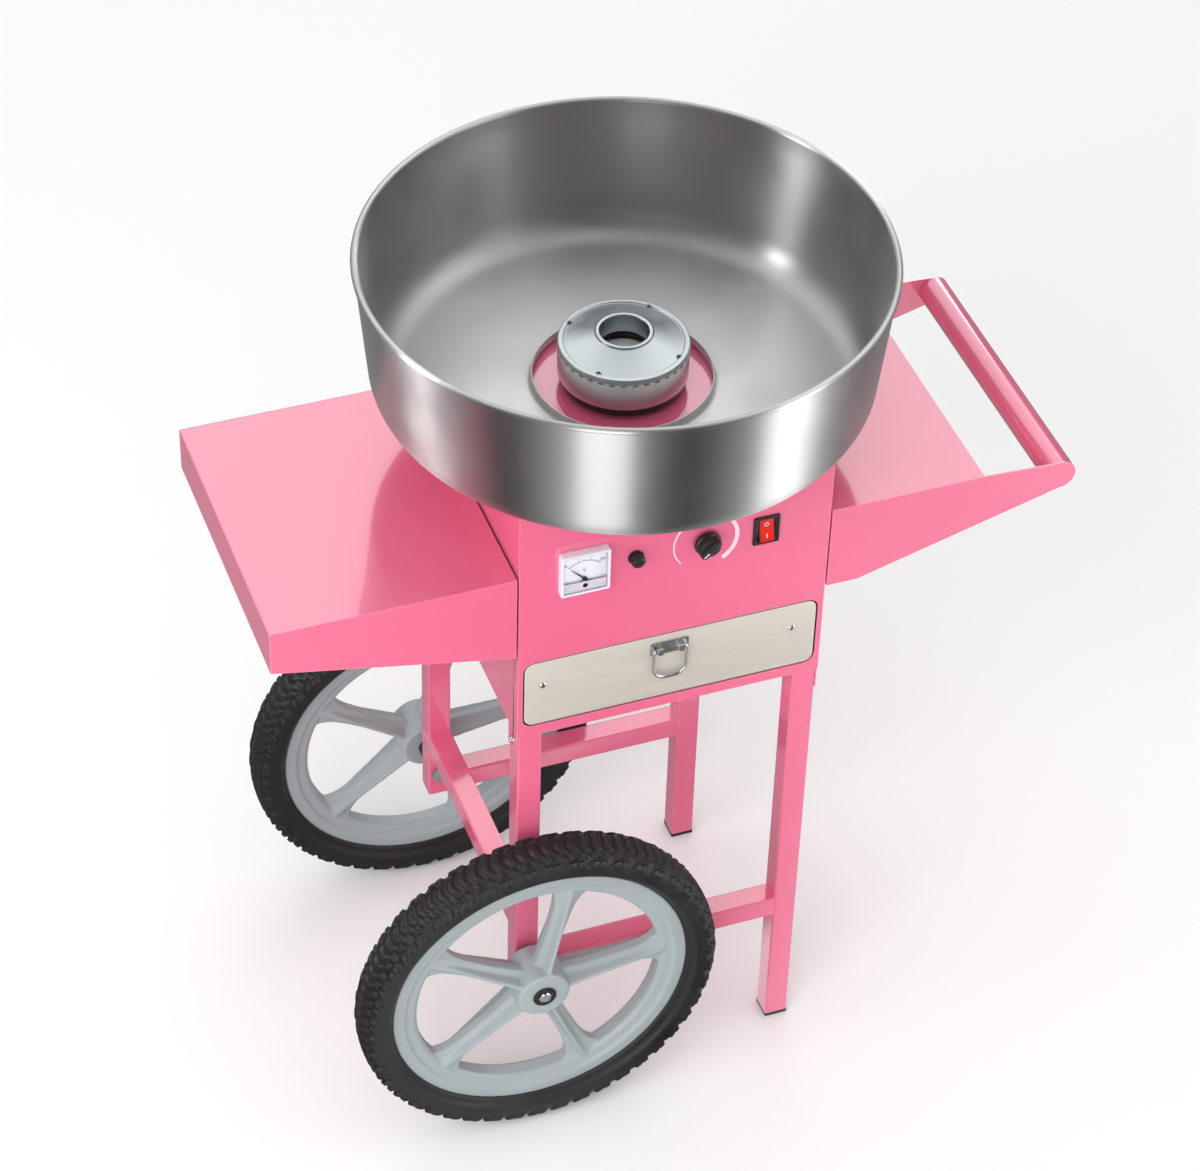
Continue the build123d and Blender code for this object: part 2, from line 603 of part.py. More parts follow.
with BuildPart() as motor_standoffs:
    with Locations((BODY_X, 0, 0)):
        with PolarLocations(STANDOFF_PCD_R, 4, 45):
            with Locations((0, 0, (CASE_Z[1] + PANEL_TOP) / 2)):
                Cylinder(4.5, PANEL_TOP - CASE_Z[1])
            with Locations((0, 0, PANEL_TOP + SHEET / 2)):
                Cylinder(2.5, SHEET)
            with Locations((0, 0, DECK_TOP + 1)):
                Cylinder(4.5, 2)
save(motor_standoffs, "motor_standoffs")

BRUSH_GAP = 0.3
BRUSH_HALF = 2.8
HOLDER_X = (BODY_X + SLIP_RING_R + 3, BODY_X + SLIP_RING_R + 17)
with BuildPart() as brush_holder:
    block(HOLDER_X, (-8, 8), (CASE_Z[1], PANEL_TOP - 1))
    for band in SLIP_BANDS:
        middle = sum(band) / 2
        slot_z = (middle - BRUSH_HALF, middle + BRUSH_HALF)
        block((HOLDER_X[0] - 1, HOLDER_X[1] + 1), (-4, 4), slot_z, Mode.SUBTRACT)
save(brush_holder, "brush_holder")

with BuildPart() as carbon_brushes:
    for band in SLIP_BANDS:
        middle = sum(band) / 2
        brush_z = (middle - BRUSH_HALF, middle + BRUSH_HALF)
        block((BODY_X + SLIP_RING_R + BRUSH_GAP, HOLDER_X[1] - 2), (-4, 4), brush_z)
save(carbon_brushes, "carbon_brushes")


# ---------------------------------------------------------------- drawer
TRAY_X = (BODY_X - 141.0, BODY_X + 141.0)
TRAY_Z = (532.0, 596.0)
TRAY_WALL = 1.0
TRAY_BACK = 110.0
PLATE_Y = (FRONT + 0.3, FRONT + 0.3 + SHEET)
RIVET_Z = 580.0
RIVET_X = (BODY_X - 133.2, BODY_X + 128.0)
HANDLE_MID = BODY_X - 3.0
BAIL_Z = 595.0
BAIL_Y = PLATE_Y[0] - 4.5
BAIL_R = 2.0
BAIL_HALF = 17.0
LUG_X = 11.0

with BuildPart() as drawer_front:
    with BuildSketch(Plane.XZ.offset(-PLATE_Y[1])):
        with Locations((BODY_X, sum(DRAWER_Z) / 2)):
            RectangleRounded(DRAWER_W, DRAWER_Z[1] - DRAWER_Z[0], DRAWER_CORNER)
    extrude(amount=SHEET)
    for x in RIVET_X:
        rod_y(x, RIVET_Z, 2.0, (PLATE_Y[0] - 1, PLATE_Y[1] + 1), Mode.SUBTRACT)
save(drawer_front, "drawer_front")

with BuildPart() as drawer_tray:
    block(TRAY_X, (PLATE_Y[1], TRAY_BACK), TRAY_Z)
    inside_x = (TRAY_X[0] + TRAY_WALL, TRAY_X[1] - TRAY_WALL)
    inside_y = (PLATE_Y[1] + TRAY_WALL, TRAY_BACK - TRAY_WALL)
    block(inside_x, inside_y, (TRAY_Z[0] + TRAY_WALL, TRAY_Z[1] + 1), Mode.SUBTRACT)
    for x in RIVET_X:
        rod_y(x, RIVET_Z, 2.0, (PLATE_Y[1] - 1, PLATE_Y[1] + 2), Mode.SUBTRACT)
save(drawer_tray, "drawer_tray")

with BuildPart() as drawer_rivets:
    for x in RIVET_X:
        rod_y(x, RIVET_Z, 3.6, (PLATE_Y[0] - 1.0, PLATE_Y[0]))
        rod_y(x, RIVET_Z, 2.0, (PLATE_Y[0], PLATE_Y[1] + TRAY_WALL))
        rod_y(x, RIVET_Z, 3.2, (PLATE_Y[1] + TRAY_WALL, PLATE_Y[1] + TRAY_WALL + 1.2))
save(drawer_rivets, "drawer_rivets")

with BuildPart() as handle_bracket:
    block((HANDLE_MID - 20, HANDLE_MID + 20), (PLATE_Y[0] - 1.4, PLATE_Y[0]), (BAIL_Z - 8, BAIL_Z + 8))
    fillet(handle_bracket.edges().filter_by(Axis.Y), 2.5)
    for side in (-1, 1):
        lug = HANDLE_MID + side * LUG_X
        block((lug - 2.5, lug + 2.5), (BAIL_Y - 3.5, PLATE_Y[0] - 1), (BAIL_Z - 3.5, BAIL_Z + 3.5))
    rod_x(BAIL_Y, BAIL_Z, BAIL_R + RUN, (HANDLE_MID - 20, HANDLE_MID + 20), Mode.SUBTRACT)
save(handle_bracket, "handle_bracket")

with BuildPart() as handle_bail:
    with BuildLine(front_plane(HANDLE_MID, BAIL_Y, BAIL_Z)) as bail_path:
        FilletPolyline(
            (-LUG_X + 2, 0), (-BAIL_HALF, 0), (-BAIL_HALF, -36), (BAIL_HALF, -36), (BAIL_HALF, 0),
            (LUG_X - 2, 0), radius=(2.5, 13, 13, 2.5),
        )
    with BuildSketch(Plane(bail_path.line @ 0, z_dir=bail_path.line % 0)):
        Circle(BAIL_R)
    sweep(path=bail_path.line)
save(handle_bail, "handle_bail")

RUNNER_LEDGE = 26.0
RUNNER_T = 1.5
with BuildPart() as drawer_runners:
    for side in (-1, 1):
        wall = BODY_X + side * (BODY_W / 2 - SHEET)
        ledge_x = tuple(sorted((wall, wall - side * RUNNER_LEDGE)))
        web_x = tuple(sorted((wall, wall - side * RUNNER_T)))
        guide = BODY_X + side * (TRAY_X[1] - BODY_X + 0.8)
        guide_x = tuple(sorted((guide, guide + side * RUNNER_T)))
        ledge_z = (TRAY_Z[0] - 0.3 - RUNNER_T, TRAY_Z[0] - 0.3)
        reach = (LEG_FRONT_Y + 6, -LEG_FRONT_Y - SHEET)
        block(ledge_x, reach, ledge_z)
        block(web_x, reach, (ledge_z[0], ledge_z[1] + 30))
        block(guide_x, reach, (ledge_z[0], ledge_z[1] + 25))
save(drawer_runners, "drawer_runners")


# ---------------------------------------------------------------- voltmeter
METER = 50.0
METER_OUT = 9.0
METER_RIM = 3.0
METER_PIVOT_Z = CONTROL_Z - 9
with BuildPart() as voltmeter_case:
    half_meter = METER / 2
    block(
        (METER_X - half_meter, METER_X + half_meter), (FRONT - METER_OUT, FRONT),
        (CONTROL_Z - half_meter, CONTROL_Z + half_meter),
    )
    fillet(voltmeter_case.edges().filter_by(Axis.Y), 2.5)
    inside = half_meter - METER_RIM
    block(
        (METER_X - inside, METER_X + inside), (FRONT - METER_OUT - 1, FRONT - 2),
        (CONTROL_Z - inside, CONTROL_Z + inside), Mode.SUBTRACT,
    )
    rod_y(METER_X, CONTROL_Z, METER_HOLE_R - 0.5, (FRONT - 2, FRONT + 26))
save(voltmeter_case, "voltmeter_case")

with BuildPart() as voltmeter_dial:
    face = inside - 0.2
    block(
        (METER_X - face, METER_X + face), (FRONT - 3, FRONT - 2),
        (CONTROL_Z - face, CONTROL_Z + face),
    )
save(voltmeter_dial, "voltmeter_dial")

with BuildPart() as voltmeter_window:
    block(
        (METER_X - face, METER_X + face), (FRONT - METER_OUT + 0.4, FRONT - METER_OUT + 1.9),
        (CONTROL_Z - face, CONTROL_Z + face),
    )
save(voltmeter_window, "voltmeter_window")

NEEDLE_REST = 45.0      # from straight up, towards the left end of the scale
with BuildPart() as voltmeter_needle:
    with BuildSketch(front_plane(METER_X, FRONT - 4.6, METER_PIVOT_Z, NEEDLE_REST)):
        with BuildLine():
            Polyline((-1.2, -5), (1.2, -5), (0.35, 19), (-0.35, 19), close=True)
        make_face()
        Circle(2.6)
    extrude(amount=0.4, both=True)
save(voltmeter_needle, "voltmeter_needle")


# ---------------------------------------------------------------- fuse holder
with BuildPart() as fuse_holder:
    rod_y(FUSE_X, CONTROL_Z, 8, (FRONT - 2, FRONT))
    rod_y(FUSE_X, CONTROL_Z, 6, (FRONT, FRONT + 34))
    rod_y(FUSE_X, CONTROL_Z, 9, (FRONT + SHEET, FRONT + SHEET + 4))
    rod_y(FUSE_X, CONTROL_Z, 3.4, (FRONT - 3, FRONT + 31), Mode.SUBTRACT)
save(fuse_holder, "fuse_holder")

with BuildPart() as fuse_cap:
    rod_y(FUSE_X, CONTROL_Z, 7, (FRONT - 11, FRONT - 2.3))
    chamfer(fuse_cap.faces().sort_by(Axis.Y)[0].edges(), 1.0)
    rod_y(FUSE_X, CONTROL_Z, 3.3, (FRONT - 2.3, FRONT + 6))
    block((FUSE_X - 0.6, FUSE_X + 0.6), (FRONT - 12, FRONT - 10), (CONTROL_Z - 5, CONTROL_Z + 5), Mode.SUBTRACT)
save(fuse_cap, "fuse_cap")

with BuildPart() as fuse_cartridge:
    rod_y(FUSE_X, CONTROL_Z, 2.6, (FRONT + 8, FRONT + 28))
save(fuse_cartridge, "fuse_cartridge")


# ---------------------------------------------------------------- heat control knob
KNOB_R = 13.5
KNOB_Y = (FRONT - 16.0, FRONT - 2.8)
with BuildPart() as potentiometer:
    rod_y(KNOB_X, CONTROL_Z, 12, (FRONT + SHEET, FRONT + 13))
    rod_y(KNOB_X, CONTROL_Z, 4.5, (FRONT - 2.4, FRONT + SHEET))
    rod_y(KNOB_X, CONTROL_Z, 7, (FRONT - 2.0, FRONT))
    rod_y(KNOB_X, CONTROL_Z, 3 + RUN, (FRONT - 5, FRONT + 10), Mode.SUBTRACT)
save(potentiometer, "potentiometer")

with BuildPart() as dial_shaft:
    rod_y(KNOB_X, CONTROL_Z, 3, (FRONT - 12, FRONT + 9))
save(dial_shaft, "dial_shaft")

POINTER_REST = 135.0    # the pointer's angle from straight up, at the off end
with BuildPart() as temperature_knob:
    rod_y(KNOB_X, CONTROL_Z, KNOB_R, (KNOB_Y[1] - 4, KNOB_Y[1]))
    rod_y(KNOB_X, CONTROL_Z, KNOB_R - 2.5, (KNOB_Y[0] + 3, KNOB_Y[1] - 4))
    with BuildSketch(front_plane(KNOB_X, KNOB_Y[1] - 4, CONTROL_Z, POINTER_REST)):
        SlotOverall(2 * KNOB_R - 1, 8, rotation=90)
    extrude(amount=KNOB_Y[1] - 4 - KNOB_Y[0])
    rod_y(KNOB_X, CONTROL_Z, 3, (FRONT - 12, FRONT), Mode.SUBTRACT)
save(temperature_knob, "temperature_knob")


# ---------------------------------------------------------------- rocker switch
SWITCH_Z = CONTROL_Z - 2
BEZEL_T = 2.5
ROCKER_HALF = (8.6, 12.2)
RECESS_HALF = (9.0, 13.4)
ROCKER_TILT = 12.0
ROCKER_PIVOT_Y = FRONT + 1.0
with BuildPart() as switch_housing:
    with Locations((SWITCH_X, FRONT - BEZEL_T / 2, SWITCH_Z)):
        Box(27, BEZEL_T, 34)
    fillet(switch_housing.edges().filter_by(Axis.Y), 1.5)
    body_x = (SWITCH_X - SWITCH_BODY[0] / 2 + 0.1, SWITCH_X + SWITCH_BODY[0] / 2 - 0.1)
    body_z = (SWITCH_Z - SWITCH_BODY[1] / 2 + 0.1, SWITCH_Z + SWITCH_BODY[1] / 2 - 0.1)
    block(body_x, (FRONT, FRONT + 24), body_z)
    recess_x = (SWITCH_X - RECESS_HALF[0], SWITCH_X + RECESS_HALF[0])
    recess_z = (SWITCH_Z - RECESS_HALF[1], SWITCH_Z + RECESS_HALF[1])
    block(recess_x, (FRONT - 4, FRONT + 11), recess_z, Mode.SUBTRACT)
    rod_x(ROCKER_PIVOT_Y, SWITCH_Z, 1.2 + RUN, (SWITCH_X - 10, SWITCH_X + 10), Mode.SUBTRACT)
save(switch_housing, "switch_housing")

with BuildPart() as switch_rocker:
    tilt = radians(ROCKER_TILT)
    pivot = (SWITCH_X - ROCKER_HALF[0], ROCKER_PIVOT_Y, SWITCH_Z)
    with BuildSketch(Plane(pivot, x_dir=(0, -cos(tilt), sin(tilt)), z_dir=(-1, 0, 0))):
        with BuildLine():
            Polyline(
                (4.4, -ROCKER_HALF[1]), (3.0, 0), (4.4, ROCKER_HALF[1]), (0.5, ROCKER_HALF[1] - 0.6),
                (-7, 5), (-7, -5), (0.5, -ROCKER_HALF[1] + 0.6), close=True,
            )
        make_face()
    extrude(amount=-2 * ROCKER_HALF[0])
    rod_x(ROCKER_PIVOT_Y, SWITCH_Z, 1.2, (SWITCH_X - 9.8, SWITCH_X + 9.8))
save(switch_rocker, "switch_rocker")


# ---------------------------------------------------------------- control board and cord entry
BOARD_X = RIGHT - SHEET - 8
with BuildPart() as control_board:
    block((BOARD_X - 1.6, BOARD_X), (-40, 50), (660, 720))
    for y, z in ((-34, 666), (-34, 714), (44, 666), (44, 714)):
        rod_x(y, z, 3, (BOARD_X, RIGHT - SHEET))
    block((BOARD_X - 20, BOARD_X - 1.6), (-20, 10), (675, 700))
    block((BOARD_X - 12, BOARD_X - 1.6), (20, 40), (670, 710))
save(control_board, "control_board")

with BuildPart() as cable_gland:
    rod_y(GLAND_X, GLAND_Z, 8, (BACK - 8, BACK))
    rod_y(GLAND_X, GLAND_Z, 11, (BACK, BACK + 5))
    rod_y(GLAND_X, GLAND_Z, 8.5, (BACK + 5, BACK + 14))
    rod_y(GLAND_X, GLAND_Z, 11, (BACK - 6, BACK - SHEET))
    chamfer(cable_gland.faces().sort_by(Axis.Y)[-1].edges(), 1.5)
    rod_y(GLAND_X, GLAND_Z, 4, (BACK - 10, BACK + 16), Mode.SUBTRACT)
save(cable_gland, "cable_gland")
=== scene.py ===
import json
import math

import bmesh
import bpy
import numpy as np
from mathutils import Matrix, Vector


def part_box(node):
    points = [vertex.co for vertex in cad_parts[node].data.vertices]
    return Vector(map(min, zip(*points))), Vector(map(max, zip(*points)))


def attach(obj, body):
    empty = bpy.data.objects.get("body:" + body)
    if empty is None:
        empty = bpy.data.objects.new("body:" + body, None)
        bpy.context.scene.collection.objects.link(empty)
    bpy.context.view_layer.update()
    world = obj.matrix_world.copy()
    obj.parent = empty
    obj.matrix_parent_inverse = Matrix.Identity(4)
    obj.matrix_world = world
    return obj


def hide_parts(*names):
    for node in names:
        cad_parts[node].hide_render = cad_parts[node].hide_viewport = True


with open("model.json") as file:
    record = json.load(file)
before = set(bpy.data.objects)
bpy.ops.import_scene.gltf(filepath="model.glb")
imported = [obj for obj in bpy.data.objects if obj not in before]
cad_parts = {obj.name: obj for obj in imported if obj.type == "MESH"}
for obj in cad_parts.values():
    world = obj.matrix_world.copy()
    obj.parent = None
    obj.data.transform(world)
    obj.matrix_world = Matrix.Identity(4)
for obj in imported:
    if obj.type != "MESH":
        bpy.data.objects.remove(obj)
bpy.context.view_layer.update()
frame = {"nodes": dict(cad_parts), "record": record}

# Looks of the cotton candy machine, in metres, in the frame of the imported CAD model.

TAU = 2 * math.pi
MM = 0.001
NODES = frame["nodes"]


def middle(node):
    """The middle of a CAD node's box."""
    low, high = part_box(node)
    return (low + high) / 2


BOWL_LOW, BOWL_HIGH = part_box("bowl")
PANEL_LOW, PANEL_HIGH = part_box("front_panel")
CENTRE = middle("bowl").xy
BOWL_RIM_R = (BOWL_HIGH.x - BOWL_LOW.x) / 2
PANEL_Y = PANEL_LOW.y


# ---------------------------------------------------------------- node graphs
def add_node(tree, kind, inputs=None, **settings):
    """A shader node with its settings, its input values and its incoming links."""
    node = tree.nodes.new(kind)
    for key, value in settings.items():
        setattr(node, key, value)
    for key, value in (inputs or {}).items():
        if isinstance(value, bpy.types.NodeSocket):
            tree.links.new(value, node.inputs[key])
        else:
            node.inputs[key].default_value = value
    return node


def math_node(tree, operation, first, second=0.0, clamp=False):
    """The outcome of a sum on one or two values."""
    return add_node(
        tree, "ShaderNodeMath", {0: first, 1: second}, operation=operation, use_clamp=clamp
    ).outputs[0]


def ramp_node(tree, factor, stops, interpolation="EASE"):
    """A colour ramp through (position, grey value or colour) stops."""
    node = add_node(tree, "ShaderNodeValToRGB", {"Fac": factor})
    ramp = node.color_ramp
    ramp.interpolation = interpolation
    while len(ramp.elements) < len(stops):
        ramp.elements.new(0.5)
    for element, (position, value) in zip(ramp.elements, sorted(stops)):
        element.position = position
        element.color = (*value, 1) if hasattr(value, "__len__") else (value, value, value, 1)
    return node.outputs[0]


def azimuth_node(tree, vector, origin=(0, 0)):
    """The turn from +X around the vertical, from -0.5 to 0.5, and the vector's height."""
    parts = add_node(tree, "ShaderNodeSeparateXYZ", {0: vector})
    east = math_node(tree, "SUBTRACT", parts.outputs[0], origin[0])
    north = math_node(tree, "SUBTRACT", parts.outputs[1], origin[1])
    angle = math_node(tree, "ARCTAN2", north, east)
    return math_node(tree, "MULTIPLY_ADD", angle, 1 / TAU), parts.outputs[2]


# ---------------------------------------------------------------- camera, floor and light
def make_camera():
    """A long lens from the front left, above, as a catalogue shows the machine."""
    data = bpy.data.cameras.new("camera")
    data.sensor_width = 36.0
    data.lens = 113.79
    data.shift_x = -0.0144
    data.shift_y = 0.0221
    data.clip_end = 60.0
    camera = bpy.data.objects.new("camera", data)
    bpy.context.scene.collection.objects.link(camera)
    bpy.context.scene.camera = camera
    azimuth, elevation, roll = math.radians(-21.579), math.radians(42.440), math.radians(2.138)
    back = Vector((
        math.sin(azimuth) * math.cos(elevation),
        -math.cos(azimuth) * math.cos(elevation),
        math.sin(elevation),
    ))
    right = (-back).cross(Vector((0, 0, 1))).normalized()
    up = right.cross(-back)
    across = math.cos(roll) * right + math.sin(roll) * up
    upward = -math.sin(roll) * right + math.cos(roll) * up
    rotation = Matrix((across, upward, back)).transposed().to_4x4()
    camera.matrix_world = Matrix.Translation((-1.0567, -2.6581, 3.1143)) @ rotation


# What polished metal sees around the machine: brightness by direction from +X, in degrees.
STUDIO_BANDS = [
    (-178, 0.10), (-150, 0.55), (-119, 1.25), (-101, 0.55), (-84, 0.05), (-62, 0.55),
    (-36, 1.25), (-8, 0.55), (20, 0.06), (56, 0.80), (98, 0.08), (146, 0.95), (170, 0.25),
]
WORLD_LEVEL = 1.02      # what matt surfaces and the camera see
CEILING = [(0.42, 0.0), (0.60, 1.0)]    # from the bands up to the ceiling, by height
CEILING_LEVEL = 1.3
WINDOW_LEVEL = 1.9
WINDOW_DIRECTION = (0.45, 0.89, 0.0)
STRIP_DISTANCE = 1.3
FLOOR_HALF = 25.0
FLOOR_TONE = (0.94, 0.94, 0.94, 1)


def band_ramp(tree, azimuth):
    """The bands' brightness for an azimuth from -0.5 to 0.5."""
    peak = max(value for _, value in STUDIO_BANDS)
    stops = [(angle / 360 + 0.5, value / peak) for angle, value in STUDIO_BANDS]
    ramp = ramp_node(tree, math_node(tree, "ADD", azimuth, 0.5), stops)
    return math_node(tree, "MULTIPLY", ramp, peak)


def make_world():
    """A pale studio for matt surfaces; polished ones see a bright window behind, a ceiling,
    and tall panels with dark gaps between them."""
    world = bpy.data.worlds.new("studio")
    bpy.context.scene.world = world
    world.use_nodes = True
    tree = world.node_tree
    tree.nodes.clear()
    direction = add_node(tree, "ShaderNodeTexCoord").outputs["Generated"]
    azimuth, height = azimuth_node(tree, direction)
    behind = add_node(
        tree, "ShaderNodeVectorMath", {0: direction, 1: WINDOW_DIRECTION}, operation="DOT_PRODUCT"
    ).outputs["Value"]
    window = math_node(tree, "MULTIPLY", behind, WINDOW_LEVEL)
    upper = math_node(tree, "ADD", window, CEILING_LEVEL)
    ceiling = ramp_node(tree, height, CEILING)
    glossy = add_node(tree, "ShaderNodeMix", {
        0: ceiling, 2: band_ramp(tree, azimuth), 3: upper,
    }, data_type="FLOAT").outputs[0]
    is_glossy = add_node(tree, "ShaderNodeLightPath").outputs["Is Glossy Ray"]
    level = add_node(
        tree, "ShaderNodeMix", {0: is_glossy, 2: WORLD_LEVEL, 3: glossy}, data_type="FLOAT"
    ).outputs[0]
    background = add_node(tree, "ShaderNodeBackground", {1: level})
    add_node(tree, "ShaderNodeOutputWorld", {0: background.outputs[0]})


def area_light(name, place, target, size, power, strip=False):
    """A soft light that only matt surfaces catch, or a strip that only polished ones mirror."""
    data = bpy.data.lights.new(name, "AREA")
    data.shape = "RECTANGLE"
    data.size, data.size_y = size
    data.energy = power
    light = bpy.data.objects.new(name, data)
    bpy.context.scene.collection.objects.link(light)
    light.visible_camera = False
    light.visible_glossy = strip
    light.visible_diffuse = not strip
    light.location = place
    aim = Vector(target) - Vector(place)
    light.rotation_euler = aim.to_track_quat("-Z", "Y").to_euler()


def strip_light(name, azimuth, low, high, width, power):
    """An upright strip beside the cart, which draws one bright streak down the bowl."""
    angle = math.radians(azimuth)
    x = CENTRE.x + STRIP_DISTANCE * math.cos(angle)
    y = CENTRE.y + STRIP_DISTANCE * math.sin(angle)
    z = (low + high) / 2
    area_light(name, (x, y, z), (*CENTRE, z), (width, high - low), power, strip=True)


def make_floor():
    """A plain pale floor; for glossy rays it glows with the studio's bright bands and darker gaps,
    a painted reflection that only polished metal sees.
    """
    data = bpy.data.meshes.new("floor")
    half = FLOOR_HALF
    corners = [(-half, -half, 0), (half, -half, 0), (half, half, 0), (-half, half, 0)]
    data.from_pydata(corners, [], [(0, 1, 2, 3)])
    floor = bpy.data.objects.new("floor", data)
    bpy.context.scene.collection.objects.link(floor)
    material = bpy.data.materials.new("floor")
    material.use_nodes = True
    tree = material.node_tree
    tree.nodes.clear()
    place = add_node(tree, "ShaderNodeTexCoord").outputs["Object"]
    azimuth, _ = azimuth_node(tree, place, tuple(CENTRE))
    # For glossy rays the floor glows with the studio bands: a painted reflection, not a lamp.
    painted_reflection_glow = add_node(tree, "ShaderNodeEmission", {1: band_ramp(tree, azimuth)})
    pale = add_node(tree, "ShaderNodeBsdfDiffuse", {0: FLOOR_TONE})
    glossy = add_node(tree, "ShaderNodeLightPath").outputs["Is Glossy Ray"]
    mixed = add_node(tree, "ShaderNodeMixShader", {
        0: glossy, 1: pale.outputs[0], 2: painted_reflection_glow.outputs[0],
    })
    add_node(tree, "ShaderNodeOutputMaterial", {0: mixed.outputs[0]})
    data.materials.append(material)


make_camera()
make_world()
make_floor()
area_light("key", (-2.4, -2.8, 3.2), (0, 0, 0.5), (2.4, 2.4), 60)
area_light("low_fill", (-0.4, -3.8, 0.9), (0, 0, 0.55), (3.0, 1.4), 22)
area_light("side_fill", (-3.0, -0.9, 1.7), (-0.3, 0, 0.7), (2.0, 1.2), 32)
area_light("window", (1.3, 3.2, 3.3), (0, 0, 0.8), (2.4, 1.6), 14)
strip_light("strip_left", 172, 0.78, 1.7, 0.26, 8)
strip_light("strip_front", -117, 0.05, 1.2, 0.44, 5)
strip_light("strip_right", -47, 0.05, 1.2, 0.46, 6)
strip_light("strip_back", 45, 0.5, 1.4, 0.24, 3)
bpy.context.scene.view_settings.view_transform = "Standard"


# ---------------------------------------------------------------- materials
def finish(name, colour, rough, metallic=0.0, spread=0.05, patch=9.0, rough_spread=0.06,
           grain=420.0, bump=0.06, stretch=(1, 1, 1), edge=None, edge_width=0.0012, tangent=None,
           **sockets):
    """A procedural surface: drifting colour and roughness, fine grain, and edges painted lighter, a
    painted highlight that partly also stands for wear.
    """
    drift_low, drift_high = 0.3, 0.7
    material = bpy.data.materials.new(name)
    material.use_nodes = True
    tree = material.node_tree
    tree.nodes.clear()
    coords = add_node(tree, "ShaderNodeTexCoord").outputs["Object"]
    scaled = add_node(tree, "ShaderNodeMapping", {"Vector": coords, "Scale": stretch}).outputs[0]
    drift = add_node(
        tree, "ShaderNodeTexNoise", {"Vector": scaled, "Scale": patch, "Detail": 4.0}
    ).outputs[0]
    fine = add_node(
        tree, "ShaderNodeTexNoise", {"Vector": scaled, "Scale": grain, "Detail": 3.0}
    ).outputs[0]
    dark = [max(0.0, c * (1 - spread)) for c in colour]
    light = [min(1.0, c * (1 + spread)) for c in colour]
    tone = ramp_node(tree, drift, [(drift_low, dark), (drift_high, light)], "LINEAR")
    if edge:
        # Edges painted in a lighter colour: a painted highlight along the edges, partly also wear.
        soft = add_node(tree, "ShaderNodeBevel", {"Radius": edge_width}, samples=4).outputs[0]
        flat = add_node(tree, "ShaderNodeNewGeometry").outputs["Normal"]
        along = add_node(tree, "ShaderNodeVectorMath", {0: soft, 1: flat}, operation="DOT_PRODUCT")
        edge_highlight_and_wear = add_node(tree, "ShaderNodeMapRange", {
            "Value": along.outputs["Value"], "From Min": 0.995, "From Max": 0.90,
            "To Max": 0.75,
        }).outputs[0]
        patchy = math_node(tree, "MULTIPLY", edge_highlight_and_wear, math_node(tree, "ADD", drift, 0.35, True))
        tone = add_node(
            tree, "ShaderNodeMix", {0: patchy, "A": tone, "B": (*edge, 1)}, data_type="RGBA"
        ).outputs["Result"]
    gloss = add_node(tree, "ShaderNodeMapRange", {
        "Value": drift, "From Min": drift_low, "From Max": drift_high,
        "To Min": max(0.02, rough - rough_spread), "To Max": min(1.0, rough + rough_spread),
    }).outputs[0]
    relief = add_node(
        tree, "ShaderNodeBump", {"Strength": bump, "Distance": 0.0006, "Height": fine}
    ).outputs[0]
    shader = add_node(tree, "ShaderNodeBsdfPrincipled", {
        "Base Color": tone, "Roughness": gloss, "Metallic": metallic, "Normal": relief,
    })
    for key, value in sockets.items():
        shader.inputs[key.replace("_", " ")].default_value = value
    if tangent:
        direction = add_node(tree, "ShaderNodeTangent", direction_type="RADIAL", axis=tangent)
        tree.links.new(direction.outputs[0], shader.inputs["Tangent"])
    add_node(tree, "ShaderNodeOutputMaterial", {0: shader.outputs[0]})
    return material


